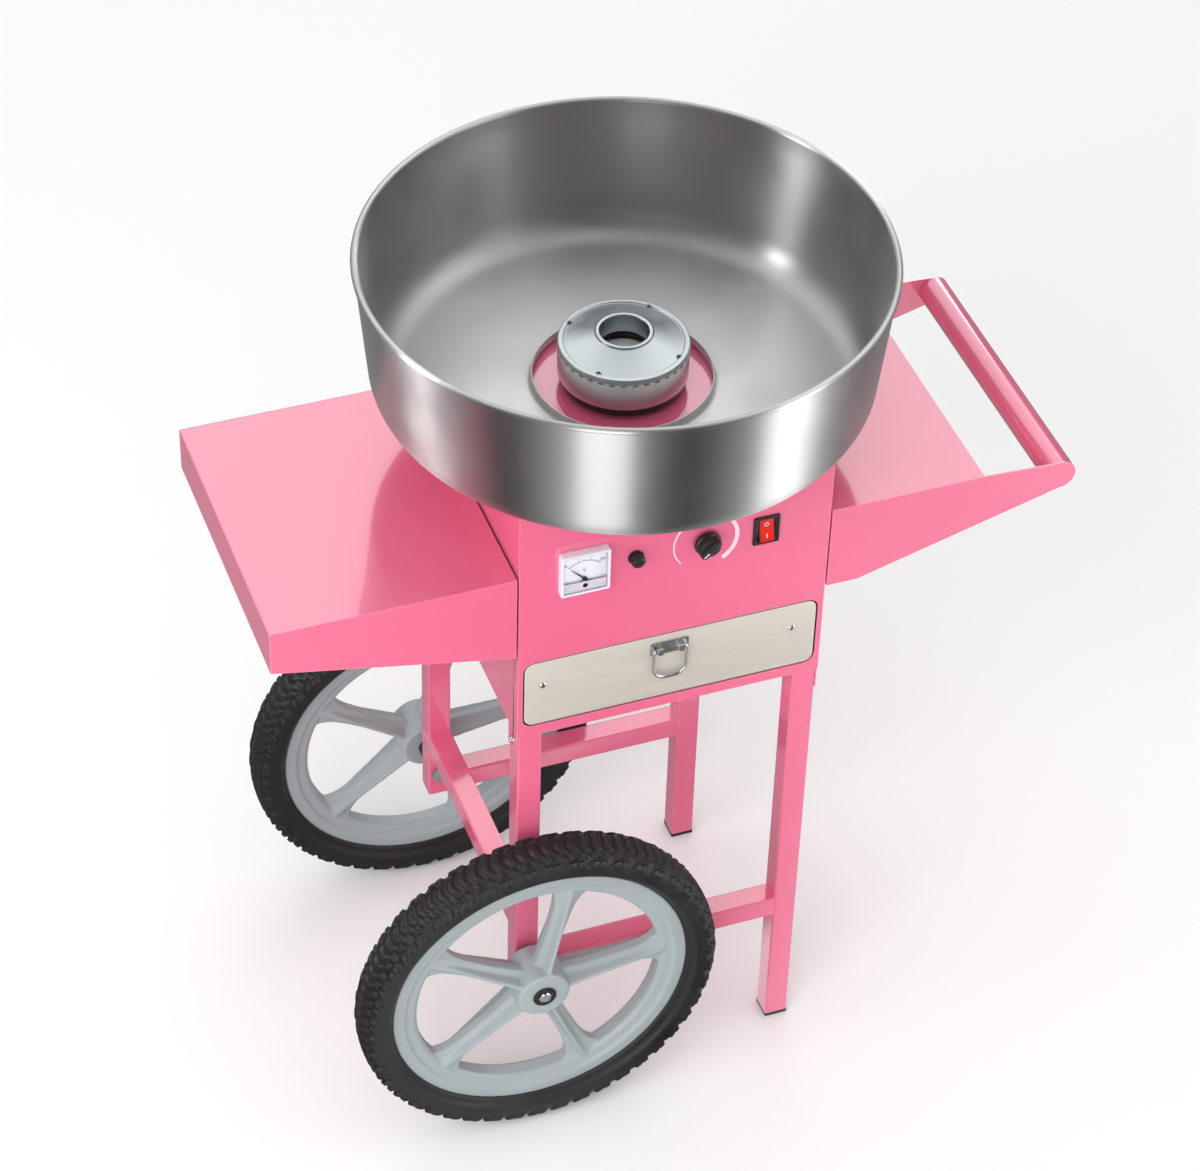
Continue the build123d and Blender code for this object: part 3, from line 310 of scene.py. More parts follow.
LOOKS = {
    # The pink paint's lighter pink edge colour is a painted highlight.
    "pink_paint": finish(
        "pink_paint", (0.80, 0.14, 0.26), 0.16, spread=0.03, patch=5, rough_spread=0.03,
        grain=650, bump=0.03, edge=(0.97, 0.45, 0.55), IOR=1.7, Coat_Weight=0.8,
        Coat_Roughness=0.05, Coat_IOR=1.7),
    "bowl_steel": finish(
        "bowl_steel", (0.52, 0.52, 0.515), 0.38, 1.0, spread=0.04, patch=14, rough_spread=0.05,
        grain=160, bump=0.02, tangent="Z", Anisotropic=0.95, Anisotropic_Rotation=0.25),
    "head_aluminium": finish(
        "head_aluminium", (0.43, 0.475, 0.48), 0.38, 1.0, spread=0.04, patch=40, rough_spread=0.06,
        grain=900, bump=0.05, tangent="Z", Anisotropic=0.4, Anisotropic_Rotation=0.25),
    "head_band_steel": finish(
        "head_band_steel", (0.86, 0.87, 0.86), 0.32, 1.0, spread=0.03, patch=40, rough_spread=0.04,
        grain=900, bump=0.015, tangent="Z"),
    "pan_aluminium": finish(
        "pan_aluminium", (0.88, 0.91, 0.92), 0.42, 0.35, spread=0.03, patch=40, grain=900,
        bump=0.02),
    "drawer_steel": finish(
        "drawer_steel", (0.61, 0.56, 0.495), 0.45, 0.30, spread=0.03, patch=12, rough_spread=0.05,
        grain=260, bump=0.06, stretch=(1, 1, 14)),
    "tray_steel": finish(
        "tray_steel", (0.55, 0.56, 0.57), 0.42, 1.0, spread=0.12, patch=45, rough_spread=0.10,
        grain=300, bump=0.06),
    "bright_steel": finish(
        "bright_steel", (0.70, 0.70, 0.70), 0.22, 1.0, spread=0.08, patch=120, rough_spread=0.08,
        grain=1200, bump=0.08),
    # Its lighter edge colour is a painted highlight, partly also wear.
    "spring_steel": finish(
        "spring_steel", (0.030, 0.030, 0.032), 0.38, 0.6, spread=0.3, patch=180, grain=1400,
        edge=(0.25, 0.25, 0.25), edge_width=0.0004),
    # Its lighter edge colour is a painted highlight, partly also wear.
    "rim_plastic": finish(
        "rim_plastic", (0.33, 0.375, 0.385), 0.38, spread=0.035, patch=14, rough_spread=0.06,
        grain=900, bump=0.10, edge=(0.55, 0.60, 0.61)),
    # Its lighter edge colour is a painted highlight, partly also wear.
    "tyre_rubber": finish(
        "tyre_rubber", (0.011, 0.011, 0.0115), 0.52, spread=0.25, patch=26, rough_spread=0.10,
        grain=700, bump=0.22, edge=(0.06, 0.06, 0.062)),
    # Its lighter edge colour is a painted highlight, partly also wear.
    "black_plastic": finish(
        "black_plastic", (0.012, 0.012, 0.013), 0.36, spread=0.2, patch=90, rough_spread=0.08,
        grain=1500, bump=0.12, edge=(0.05, 0.05, 0.05), edge_width=0.0005),
    "red_lens": finish(
        "red_lens", (0.62, 0.008, 0.006), 0.14, spread=0.10, patch=160, rough_spread=0.03,
        grain=1200, bump=0.04, Emission_Color=(1.0, 0.02, 0.01, 1), Emission_Strength=0.14,
        Coat_Weight=0.6, Coat_Roughness=0.05),
    # Its lighter edge colour is a painted highlight, partly also wear.
    "meter_plastic": finish(
        "meter_plastic", (0.72, 0.66, 0.74), 0.25, spread=0.03, patch=60, grain=1500, bump=0.04,
        edge=(0.9, 0.88, 0.92), edge_width=0.0006),
    "meter_dial": finish(
        "meter_dial", (0.88, 0.86, 0.90), 0.6, spread=0.03, patch=90, grain=2200, bump=0.05),
    "meter_glass": finish(
        "meter_glass", (0.98, 0.98, 1.0), 0.03, spread=0.01, patch=50, rough_spread=0.02,
        grain=900, bump=0.01, Transmission_Weight=1.0, IOR=1.12),
    "needle_black": finish(
        "needle_black", (0.02, 0.02, 0.02), 0.4, spread=0.2, patch=300, grain=1500),
    "fuse_glass": finish(
        "fuse_glass", (0.9, 0.94, 0.94), 0.06, patch=90, grain=900, bump=0.01,
        Transmission_Weight=0.9),
    "motor_paint": finish(
        "motor_paint", (0.03, 0.033, 0.036), 0.4, spread=0.2, patch=40, grain=800, bump=0.15),
    "bearing_steel": finish(
        "bearing_steel", (0.60, 0.60, 0.61), 0.25, 1.0, patch=80, grain=900, tangent="Z"),
    "shaft_steel": finish(
        "shaft_steel", (0.45, 0.45, 0.46), 0.32, 1.0, patch=60, grain=900, tangent="Z"),
    "brass": finish("brass", (0.72, 0.42, 0.20), 0.28, 1.0, spread=0.12, patch=80, grain=900),
    "carbon": finish("carbon", (0.02, 0.02, 0.022), 0.7, spread=0.2, patch=90, grain=1200),
    "heater_steel": finish(
        "heater_steel", (0.16, 0.145, 0.135), 0.5, 0.8, spread=0.25, patch=70, grain=700),
    "board": finish("board", (0.015, 0.10, 0.045), 0.45, spread=0.15, patch=70, grain=800),
    "print_white": finish(
        "print_white", (0.93, 0.62, 0.70), 0.35, spread=0.06, patch=140, grain=1500, bump=0.05),
    "print_black": finish(
        "print_black", (0.04, 0.035, 0.045), 0.45, spread=0.2, patch=300, grain=1500, bump=0.05),
}
SLOT_OF = {s["node"]: s["material_slot"] for s in frame["record"]["subparts"]}


# ---------------------------------------------------------------- mesh helpers
def place_piece(name, data, look, body, stands_for=(), record_slot=None):
    """Links a mesh or curve as a piece that rides on a body and stands for CAD nodes."""
    piece = bpy.data.objects.new(name, data)
    bpy.context.scene.collection.objects.link(piece)
    data.materials.append(LOOKS[look])
    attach(piece, body)
    if stands_for:
        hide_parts(*stands_for)
    return piece


def mesh_piece(name, bm, look, body, stands_for=(), sharp=32.0, **extra):
    """Makes a built mesh a piece, smooth but for edges sharper than an angle in degrees."""
    bmesh.ops.recalc_face_normals(bm, faces=bm.faces[:])
    data = bpy.data.meshes.new(name)
    bm.to_mesh(data)
    bm.free()
    data.shade_smooth()
    data.set_sharp_from_angle(angle=math.radians(sharp))
    return place_piece(name, data, look, body, stands_for, **extra)


def frame_at(x, y, z, outward=(0, 0, 1), turn=0.0):
    """A place whose third axis points outward, turned about it by an angle in degrees."""
    rotation = Vector((0, 0, 1)).rotation_difference(Vector(outward)).to_matrix().to_4x4()
    return Matrix.Translation((x, y, z)) @ rotation @ Matrix.Rotation(math.radians(turn), 4, "Z")


def front_frame(x, y, z, turn=0.0):
    """A place on the front: first axis right, second up, third towards the operator."""
    rotation = Matrix(((1, 0, 0), (0, 0, -1), (0, 1, 0))).to_4x4()
    return Matrix.Translation((x, y, z)) @ rotation @ Matrix.Rotation(math.radians(turn), 4, "Z")


def rounded(points, steps=6):
    """A closed 2-D outline with its corners rounded: points are (x, y, radius)."""
    outline = []
    count = len(points)
    for i, (x, y, radius) in enumerate(points):
        corner = Vector((x, y))
        if radius <= 0:
            outline.append(corner)
            continue
        before = Vector(points[i - 1][:2]) - corner
        after = Vector(points[(i + 1) % count][:2]) - corner
        half = before.angle(after) / 2
        reach = min(radius / math.tan(half), before.length * 0.499, after.length * 0.499)
        radius = reach * math.tan(half)
        start = corner + before.normalized() * reach
        end = corner + after.normalized() * reach
        bisector = (before.normalized() + after.normalized()).normalized()
        centre = corner + bisector * (radius / math.sin(half))
        first, last = start - centre, end - centre
        sweep = first.angle_signed(last)
        for k in range(steps + 1):
            turned = first.copy()
            turned.rotate(Matrix.Rotation(-sweep * k / steps, 2))
            outline.append(centre + turned)
    return outline


def lathe(bm, profile, place, segments=96, closed=True):
    """Turns (radius, height) points about the third axis of a place."""
    rings = []
    for radius, height in profile:
        count = segments if radius > 1e-7 else 1
        rings.append([
            bm.verts.new(place @ Vector((
                radius * math.cos(TAU * k / segments), radius * math.sin(TAU * k / segments),
                height)))
            for k in range(count)
        ])
    following = rings[1:] + rings[:1] if closed else rings[1:]
    for first, second in zip(rings, following):
        for k in range(segments):
            n = k + 1
            corners = [
                first[k % len(first)], first[n % len(first)],
                second[n % len(second)], second[k % len(second)],
            ]
            corners = list(dict.fromkeys(corners))
            if len(corners) > 2:
                bm.faces.new(corners)


def prism(bm, outline, place, low, high, edge=0.0):
    """Raises a flat outline from low to high along the third axis, with softened edges."""
    bottom = [bm.verts.new(place @ Vector((x, y, low))) for x, y in outline]
    top = [bm.verts.new(place @ Vector((x, y, high))) for x, y in outline]
    faces = [bm.faces.new(bottom[::-1]), bm.faces.new(top)]
    count = len(outline)
    for k in range(count):
        n = (k + 1) % count
        faces.append(bm.faces.new((bottom[k], bottom[n], top[n], top[k])))
    if edge:
        ring = [e for f in faces[:2] for e in f.edges]
        bmesh.ops.bevel(
            bm, geom=ring, offset=edge, segments=2, profile=0.5, affect="EDGES", clamp_overlap=True
        )


def skin(bm, place, rings, caps=True):
    """A body through rings of equal counts, with end caps or joined back to its first ring."""
    loops = [[bm.verts.new(place @ Vector((x, y, height))) for x, y in outline]
             for outline, height in rings]
    count = len(loops[0])
    pairs = zip(loops, loops[1:]) if caps else zip(loops, loops[1:] + loops[:1])
    for first, second in pairs:
        for k in range(count):
            n = (k + 1) % count
            bm.faces.new((first[k], first[n], second[n], second[k]))
    if caps:
        bm.faces.new(loops[0][::-1])
        bm.faces.new(loops[-1])


def box_outline(half_x, half_y, radius=0.0):
    """A rectangle with rounded corners, around the origin."""
    return rounded([
        (-half_x, -half_y, radius), (half_x, -half_y, radius),
        (half_x, half_y, radius), (-half_x, half_y, radius),
    ])


def arc_points(centre, radius, first, last, steps):
    """Points along an arc between two angles in degrees, both ends included."""
    angles = [math.radians(first + (last - first) * k / steps) for k in range(steps + 1)]
    return [(centre[0] + radius * math.cos(a), centre[1] + radius * math.sin(a)) for a in angles]


def scaled(points):
    """Points in millimetres, in metres."""
    return [(x * MM, y * MM) for x, y in points]


def smoothstep(x, low, high):
    """A soft step from 0 at low to 1 at high."""
    t = np.clip((x - low) / (high - low), 0.0, 1.0)
    return t * t * (3 - 2 * t)


def screw_head(bm, place, radius, height, recess=0.55):
    """A pan head with a cross recess, its seat at the place's origin."""
    around, rings = 48, 16
    arm, slot = radius * recess, radius * 0.13
    arm_soft, slot_soft, recess_depth = 0.85, 1.7, 0.6
    dome_reach, dome_power = 0.97, 2.6

    def within(along, across):
        in_length = 1 - smoothstep(abs(along), arm * arm_soft, arm)
        return in_length * (1 - smoothstep(abs(across), slot, slot * slot_soft))

    rows = []
    for ring in range(rings + 1):
        share = ring / rings
        row = []
        for k in range(around if ring else 1):
            angle = TAU * k / around
            x, y = radius * share * math.cos(angle), radius * share * math.sin(angle)
            inside = max(within(x, y), within(y, x))
            dome = height * math.sqrt(max(0.0, 1 - (share * dome_reach) ** dome_power))
            level = max(dome - inside * height * recess_depth, 0)
            row.append(bm.verts.new(place @ Vector((x, y, level))))
        rows.append(row)
    rows.append([
        bm.verts.new(place @ Vector((radius * math.cos(TAU * k / around),
                                     radius * math.sin(TAU * k / around), 0)))
        for k in range(around)
    ])
    for first, second in zip(rows, rows[1:]):
        for k in range(around):
            n = (k + 1) % around
            corners = [first[k % len(first)], first[n % len(first)], second[n], second[k]]
            corners = list(dict.fromkeys(corners))
            bm.faces.new(corners)
    bm.faces.new(rows[-1])


PRINT_THICK = 0.06 * MM
ARC_STEPS = 72


def text_piece(name, words, place, size, look, body, record_slot):
    """Generic figures, printed a hair above a surface."""
    data = bpy.data.curves.new(name, "FONT")
    data.body = words
    data.size = size
    data.align_x = "CENTER"
    data.align_y = "CENTER"
    data.extrude = PRINT_THICK / 2
    text = bpy.data.objects.new(name + "_outline", data)
    bpy.context.scene.collection.objects.link(text)
    bpy.context.view_layer.update()
    mesh = bpy.data.meshes.new_from_object(text)
    bpy.data.objects.remove(text)
    mesh.transform(place)
    mesh.name = name
    return place_piece(name, mesh, look, body, record_slot=record_slot)


def printed_arc(bm, place, radius, first, last, width_first, width_last):
    """A printed arc whose width grows along it; angles are clockwise from the top, in degrees."""
    inner, outer = [], []
    for k in range(ARC_STEPS + 1):
        share = k / ARC_STEPS
        angle = math.radians(90 - (first + (last - first) * share))
        width = width_first + (width_last - width_first) * share
        for points, distance in ((inner, radius - width), (outer, radius)):
            points.append((distance * math.cos(angle), distance * math.sin(angle)))
    outline = outer + inner[::-1]
    skin(bm, place, [(outline, 0), (outline, PRINT_THICK)])


def printed_bar(bm, place, half_x, half_y, centre, turn=0.0, thick=PRINT_THICK):
    """A printed mark: a rectangle turned about a point of the place's plane."""
    spin = Matrix.Rotation(math.radians(turn), 4, "Z")
    offset = Matrix.Translation((centre[0], centre[1], 0))
    prism(bm, box_outline(half_x, half_y), place @ offset @ spin, 0, thick)


# ---------------------------------------------------------------- bowl
def between(first, last, steps, start=1):
    """Even points on a line, without its last point and, unless start is 0, its first."""
    return [
        (first[0] + (last[0] - first[0]) * k / steps, first[1] + (last[1] - first[1]) * k / steps)
        for k in range(start, steps)
    ]


def make_bowl():
    """Spun bowl: rolled rim, sloping wall, round corner, flat floor and a raised collar."""
    top = BOWL_HIGH.z / MM
    rim_r = BOWL_RIM_R / MM
    half, bead, corner, wall_r, hole_r = 0.6, 3.5, 33.0, 245.4, 88.2
    collar_down, collar_bend = 141.8, 5
    floor = BOWL_LOW.z / MM + half
    bead_at = (rim_r - bead, top - bead)
    corner_at = (wall_r - corner, floor + corner)
    bend_at = (hole_r + collar_bend, floor + collar_bend)
    lean = math.degrees(math.atan2(bead_at[0] - wall_r, bead_at[1] - corner_at[1]))
    inside = arc_points((hole_r, top - collar_down), half, 180, 0, 6)
    inside += arc_points(bend_at, collar_bend - half, 180, 270, 6)
    inside += between((bend_at[0], floor + half), (corner_at[0], floor + half), 12)
    inside += arc_points(corner_at, corner - half, 270, 360 - lean, 14)
    inside += between(inside[-1], (bead_at[0] - half, bead_at[1]), 10)
    bead_loop = arc_points(bead_at, bead, 190, -85, 22)
    outside = arc_points(corner_at, corner + half, 360 - lean, 270, 14)
    wall_out = between((bead_at[0] + half, bead_at[1] - bead), outside[0], 10, start=0)
    under = between((corner_at[0], floor - half), (bend_at[0], floor - half), 8)
    under += arc_points(bend_at, collar_bend + half, 270, 180, 6)
    bm = bmesh.new()
    profile = scaled(inside + bead_loop + wall_out + outside + under)
    lathe(bm, profile, Matrix.Translation((*CENTRE, 0)), segments=256)
    mesh_piece("spun_bowl", bm, "bowl_steel", "bowl", ["bowl"], sharp=50)


# ---------------------------------------------------------------- spinner head
HEAD_LOW, HEAD_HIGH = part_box("spinner_cover")
HEAD_R = (HEAD_HIGH.x - HEAD_LOW.x) / 2
SCREW_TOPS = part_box("spinner_screws")[1].z
BAND_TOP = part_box("spinner_band")[1].z
FILLER_R = 24.0 * MM
FILLER_OUT_R = 25.5 * MM
LIP_R = 27.6 * MM
SCREW_TALL = 2.4 * MM
SCREW_INSET = 6.5 * MM


def make_head():
    """The cover with its raised ring, filler lip and chute, and its four screws."""
    place = Matrix.Translation((*CENTRE, 0))
    top, bottom, rim = HEAD_HIGH.z, BAND_TOP, HEAD_R
    edge = SCREW_TOPS - SCREW_TALL
    profile = rounded([
        (FILLER_R, HEAD_LOW.z, 0), (FILLER_R, top, 1.1 * MM), (LIP_R, top, 1.2 * MM),
        (28.6 * MM, top - 2.0 * MM, 0.8 * MM), (rim - 6.2 * MM, edge + 0.3 * MM, 0.6 * MM),
        (rim - 5.2 * MM, edge + 1.5 * MM, 0.8 * MM), (rim - 1.0 * MM, edge + 1.2 * MM, 1.2 * MM),
        (rim, edge - 0.6 * MM, 1.0 * MM), (rim, bottom, 0.5 * MM), (rim - 5 * MM, bottom, 0),
        (30 * MM, top - 6 * MM, 0), (FILLER_OUT_R, top - 6.5 * MM, 0),
        (FILLER_OUT_R, HEAD_LOW.z, 0),
    ], 5)
    bm = bmesh.new()
    lathe(bm, profile, place, segments=192)
    mesh_piece("head_cover", bm, "head_aluminium", "spinner", ["spinner_cover"], sharp=60)
    bm = bmesh.new()
    post = rim - SCREW_INSET
    for k in range(4):
        angle = math.radians(45 + 90 * k)
        x, y = CENTRE.x + post * math.cos(angle), CENTRE.y + post * math.sin(angle)
        washer = scaled([(2.2, 0), (3.3, 0), (3.3, 0.5), (2.2, 0.9)])
        lathe(bm, washer, Matrix.Translation((x, y, edge + 0.2 * MM)), 32)
        seat = Matrix.Translation((x, y, edge + 0.6 * MM))
        screw_head(bm, seat @ Matrix.Rotation(k * 0.7, 4, "Z"), 2.6 * MM, 1.7 * MM)
    mesh_piece("head_screws", bm, "heater_steel", "spinner", ["spinner_screws"])


# ---------------------------------------------------------------- wheels
PITCHES = 46            # tread blocks around the tyre
STEPS_PER_PITCH = 24
TYRE_ACROSS = 66
TYRE_SWEEP = 150        # the section's ends, in degrees from the crown
BEAD_R = 159.6
BEAD_HALF = 14.4
TREAD_DEPTH = 3.2
BELLY_DEPTH = 20.5      # from the tread down to the widest place
SQUARENESS = 0.78       # under 1 gives the section flatter sides
TREAD_ANGLE = 62.0      # degrees from the crown where the shoulder ends
WALL_RIBS = (1.62, 1.75)


def tyre_section(outer, half_width):
    """The smooth section under the tread: radii, offsets and the way each point faces."""
    phi = np.linspace(-TYRE_SWEEP, TYRE_SWEEP, TYRE_ACROSS)
    angle = np.radians(phi)
    belly = outer - BELLY_DEPTH
    upper = outer - TREAD_DEPTH - belly
    square_sine = np.sign(np.sin(angle)) * np.abs(np.sin(angle)) ** SQUARENESS
    across = (half_width - 1.2) * square_sine
    rise = np.where(
        np.abs(phi) < 90,
        upper * np.abs(np.cos(angle)) ** SQUARENESS,
        -(belly - BEAD_R) * np.abs(np.cos(angle)) ** 0.9,
    )
    radial = belly + rise
    radial[[0, -1]] = BEAD_R
    across[[0, -1]] = [-BEAD_HALF, BEAD_HALF]
    normal = np.stack([np.sin(angle) ** 3, np.cos(angle)], 1)
    normal[np.abs(phi) > 90] = [0, 0]
    normal[np.abs(phi) > 90, 0] = np.sign(phi[np.abs(phi) > 90])
    normal /= np.linalg.norm(normal, axis=1)[:, None] + 1e-9
    return phi, radial, across, normal


def tread_block(phase, gap, soft):
    """1 on a block and 0 in the gap around a whole phase, with soft ends."""
    share = np.mod(phase, 1.0)
    near, far = gap * 0.5, 1 - gap * 0.5
    return smoothstep(share, near, near + soft) * (1 - smoothstep(share, far - soft, far))


def tread_height(phi, pitch):
    """How far the tread stands up from the smooth section, in millimetres."""
    v = np.abs(phi)[None, :] / TREAD_ANGLE
    side = np.sign(phi)[None, :] * np.ones((len(pitch), 1))
    uneven = 0.86 + 0.14 * np.cos(TAU * (pitch + 0.1 * side))
    crown = tread_block(2 * pitch + 1.3 * v, 0.34, 0.10) * (1 - smoothstep(v, 0.24, 0.29)) * 0.8
    inner = tread_block(2 * pitch + 0.5 + 0.28 * side + 1.3 * v, 0.30, 0.12) * uneven
    inner = inner * smoothstep(v, 0.35, 0.40) * (1 - smoothstep(v, 0.66, 0.71))
    lug_phase = pitch + 0.25 * side - 0.55 * v
    sipe = 1 - 0.45 * np.exp(-((np.mod(lug_phase, 1.0) - 0.5) / 0.045) ** 2)
    lugs = tread_block(lug_phase, 0.30, 0.07) * sipe
    lugs = lugs * smoothstep(v, 0.77, 0.82) * (1 - smoothstep(v, 1.14, 1.30))
    height = TREAD_DEPTH * np.maximum(np.maximum(crown, inner), lugs)
    for rib in WALL_RIBS:
        height = height + 0.35 * np.exp(-((v - rib) / 0.018) ** 2)
    return height


def make_tyre(name, node, body):
    """A knobbly tyre: staggered blocks on the crown, lugs on the shoulders, ribs on the walls."""
    low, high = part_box(node)
    centre = (low + high) / 2
    outer, half_width = (high.x - low.x) / 2 / MM, (high.y - low.y) / 2 / MM
    around = PITCHES * STEPS_PER_PITCH
    phi, radial, across, normal = tyre_section(outer, half_width)
    turn = np.arange(around) / around * TAU
    height = tread_height(phi, (turn / TAU * PITCHES)[:, None])
    radius = np.minimum(radial[None, :] + height * normal[None, :, 1], outer)
    offset = across[None, :] + height * normal[None, :, 0]
    offset = np.clip(offset, -half_width, half_width)
    x = centre.x + radius * MM * np.cos(turn)[:, None]
    y = centre.y + offset * MM
    z = centre.z + radius * MM * np.sin(turn)[:, None]
    points = np.stack([x, y, z], -1).reshape(-1, 3)
    row = np.arange(around)[:, None] * TYRE_ACROSS
    following = (np.arange(1, around + 1) % around)[:, None] * TYRE_ACROSS
    column = np.arange(TYRE_ACROSS)[None, :]
    right = (np.arange(1, TYRE_ACROSS + 1) % TYRE_ACROSS)[None, :]
    quads = np.stack([row + column, row + right, following + right, following + column], -1)
    data = bpy.data.meshes.new(name)
    data.from_pydata(points.tolist(), [], quads.reshape(-1, 4).tolist())
    data.shade_smooth()
    data.set_sharp_from_angle(angle=math.radians(55))
    place_piece(name, data, "tyre_rubber", body, [node])


SPOKES = 5
SPOKE_PHASE = 76.0      # the first spoke's angle, in degrees
SPOKE_STATIONS = 26
SPOKE_START = 18        # millimetres from the axle
SPOKE_LENGTH = 120
SPOKE_WAIST = 70        # where the spoke is narrowest
SPOKE_HALF = 9.2
RIB_HALF = 1.7


def spoke_half_width(reach):
    """A spoke is wider at the hub and flares where it meets the rim."""
    if reach < SPOKE_WAIST:
        return SPOKE_HALF + 3.6 * ((SPOKE_WAIST - reach) / (SPOKE_WAIST - SPOKE_START)) ** 2
    flare = (reach - SPOKE_WAIST) / (SPOKE_START + SPOKE_LENGTH - SPOKE_WAIST)
    return SPOKE_HALF + 2.0 * flare + 20 * flare ** 6


def add_spoke(bm, place):
    """A moulded spoke along the first axis, with a thin rib that falls from the hub to the rim."""
    loops = []
    for k in range(SPOKE_STATIONS + 1):
        share = k / SPOKE_STATIONS
        reach = SPOKE_START + SPOKE_LENGTH * share
        half = spoke_half_width(reach)
        ridge = 22.0 - 10.5 * share
        side = 4.6 + 1.0 * share
        knee = side + 0.30 * (ridge - side)
        upper = [(-half, side), (-0.45 * half, knee), (-RIB_HALF, ridge),
                 (RIB_HALF, ridge), (0.45 * half, knee), (half, side)]
        section = upper + [(t, -h) for t, h in upper[::-1]]
        loops.append([
            bm.verts.new(place @ Vector((reach * MM, t * MM, h * MM))) for t, h in section
        ])
    for first, second in zip(loops, loops[1:]):
        for k in range(len(first)):
            n = (k + 1) % len(first)
            bm.faces.new((first[k], first[n], second[n], second[k]))
    bm.faces.new(loops[0][::-1])
    bm.faces.new(loops[-1])


def make_rim(name, node, tyre_node, body):
    """A moulded wheel: channel, five spokes and hub, melted together as one casting."""
    centre = middle(tyre_node)
    low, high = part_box(node)
    half_hub = (high.y - low.y) / 2 / MM
    place = front_frame(*centre)
    bm = bmesh.new()
    lathe(bm, scaled(rounded([
        (132, -7, 2), (136, -10.4, 3), (144.5, -11.6, 1), (147.5, -14.4, 1.2), (159.4, -14.4, 1),
        (159.4, 14.4, 1), (147.5, 14.4, 1.2), (144.5, 11.6, 1), (136, 10.4, 3), (132, 7, 2),
    ])), place, 240)
    for k in range(SPOKES):
        spin = Matrix.Rotation(math.radians(SPOKE_PHASE + 360 / SPOKES * k), 4, "Z")
        add_spoke(bm, place @ spin)
    front_half = [
        (29, 0), (28.6, half_hub - 12), (27.8, half_hub - 1.6), (26.0, half_hub), (7.0, half_hub),
    ]
    back_half = [(radius, -height) for radius, height in front_half[:0:-1]]
    lathe(bm, scaled(back_half + front_half), place)
    bmesh.ops.recalc_face_normals(bm, faces=bm.faces[:])
    data = bpy.data.meshes.new(name + "_cage")
    bm.to_mesh(data)
    bm.free()
    cage = bpy.data.objects.new(name + "_cage", data)
    bpy.context.scene.collection.objects.link(cage)
    melt = cage.modifiers.new("melt", "REMESH")
    melt.mode = "VOXEL"
    melt.voxel_size = 1.25 * MM
    relax = cage.modifiers.new("relax", "SMOOTH")
    relax.factor = 0.5
    relax.iterations = 3
    bpy.context.view_layer.update()
    evaluated = cage.evaluated_get(bpy.context.evaluated_depsgraph_get())
    mesh = bpy.data.meshes.new_from_object(evaluated)
    bpy.data.objects.remove(cage)
    mesh.name = name
    mesh.shade_smooth()
    place_piece(name, mesh, "rim_plastic", body, [node])


def make_push_nuts():
    """Sprung star washers pressed on the axle ends."""
    thick, teeth = 1.6 * MM, 5
    low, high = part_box("push_nuts")
    bm = bmesh.new()
    for y, outward in ((low.y, -1), (high.y, 1)):
        axle = middle("front_tyre" if outward < 0 else "back_tyre")
        place = frame_at(axle.x, y - outward * thick, axle.z, (0, outward, 0))
        lathe(bm, scaled([
            (7.6, 0.0), (7.6, 1.0), (8.6, 1.6), (11.4, 1.6), (12.3, 1.1), (12.5, 0.4), (12.5, 0.0),
        ]), place, 64)
        for k in range(teeth):
            spin = Matrix.Rotation(TAU * (k + 0.25) / teeth, 4, "Z")
            lean = Matrix.Rotation(math.radians(-38), 4, "Y")
            hinge = Matrix.Translation((8.2 * MM, 0, 0.9 * MM))
            tooth = scaled([(-3.4, -1.0), (0.8, -1.9), (0.8, 1.9), (-3.4, 1.0)])
            prism(bm, tooth, place @ spin @ hinge @ lean, -0.1 * MM, 0.5 * MM)
    mesh_piece("star_washers", bm, "spring_steel", "cart", ["push_nuts"])


make_bowl()
make_head()
for end in ("front", "back"):
    make_tyre(f"{end}_knobbly_tyre", f"{end}_tyre", f"{end}_wheel")
    make_rim(f"{end}_moulded_rim", f"{end}_wheel_rim", f"{end}_tyre", f"{end}_wheel")
make_push_nuts()


# ---------------------------------------------------------------- front panel
def square_rings(half_x, half_z, radius, steps):
    """Rings of a rounded rectangle from (inset, height) steps, in millimetres."""
    return [
        (scaled(box_outline(half_x - inset, half_z - inset, max(radius - inset, 0.4))), height * MM)
        for inset, height in steps
    ]


def fluted(radius, depth, flutes, per_flute=6):
    """A round outline with small grooves along it, in millimetres."""
    count = flutes * per_flute
    outline = []
    for k in range(count):
        angle = TAU * k / count
        distance = radius - depth * (0.5 - 0.5 * math.cos(flutes * angle)) ** 2
        outline.append((distance * math.cos(angle), distance * math.sin(angle)))
    return scaled(outline)


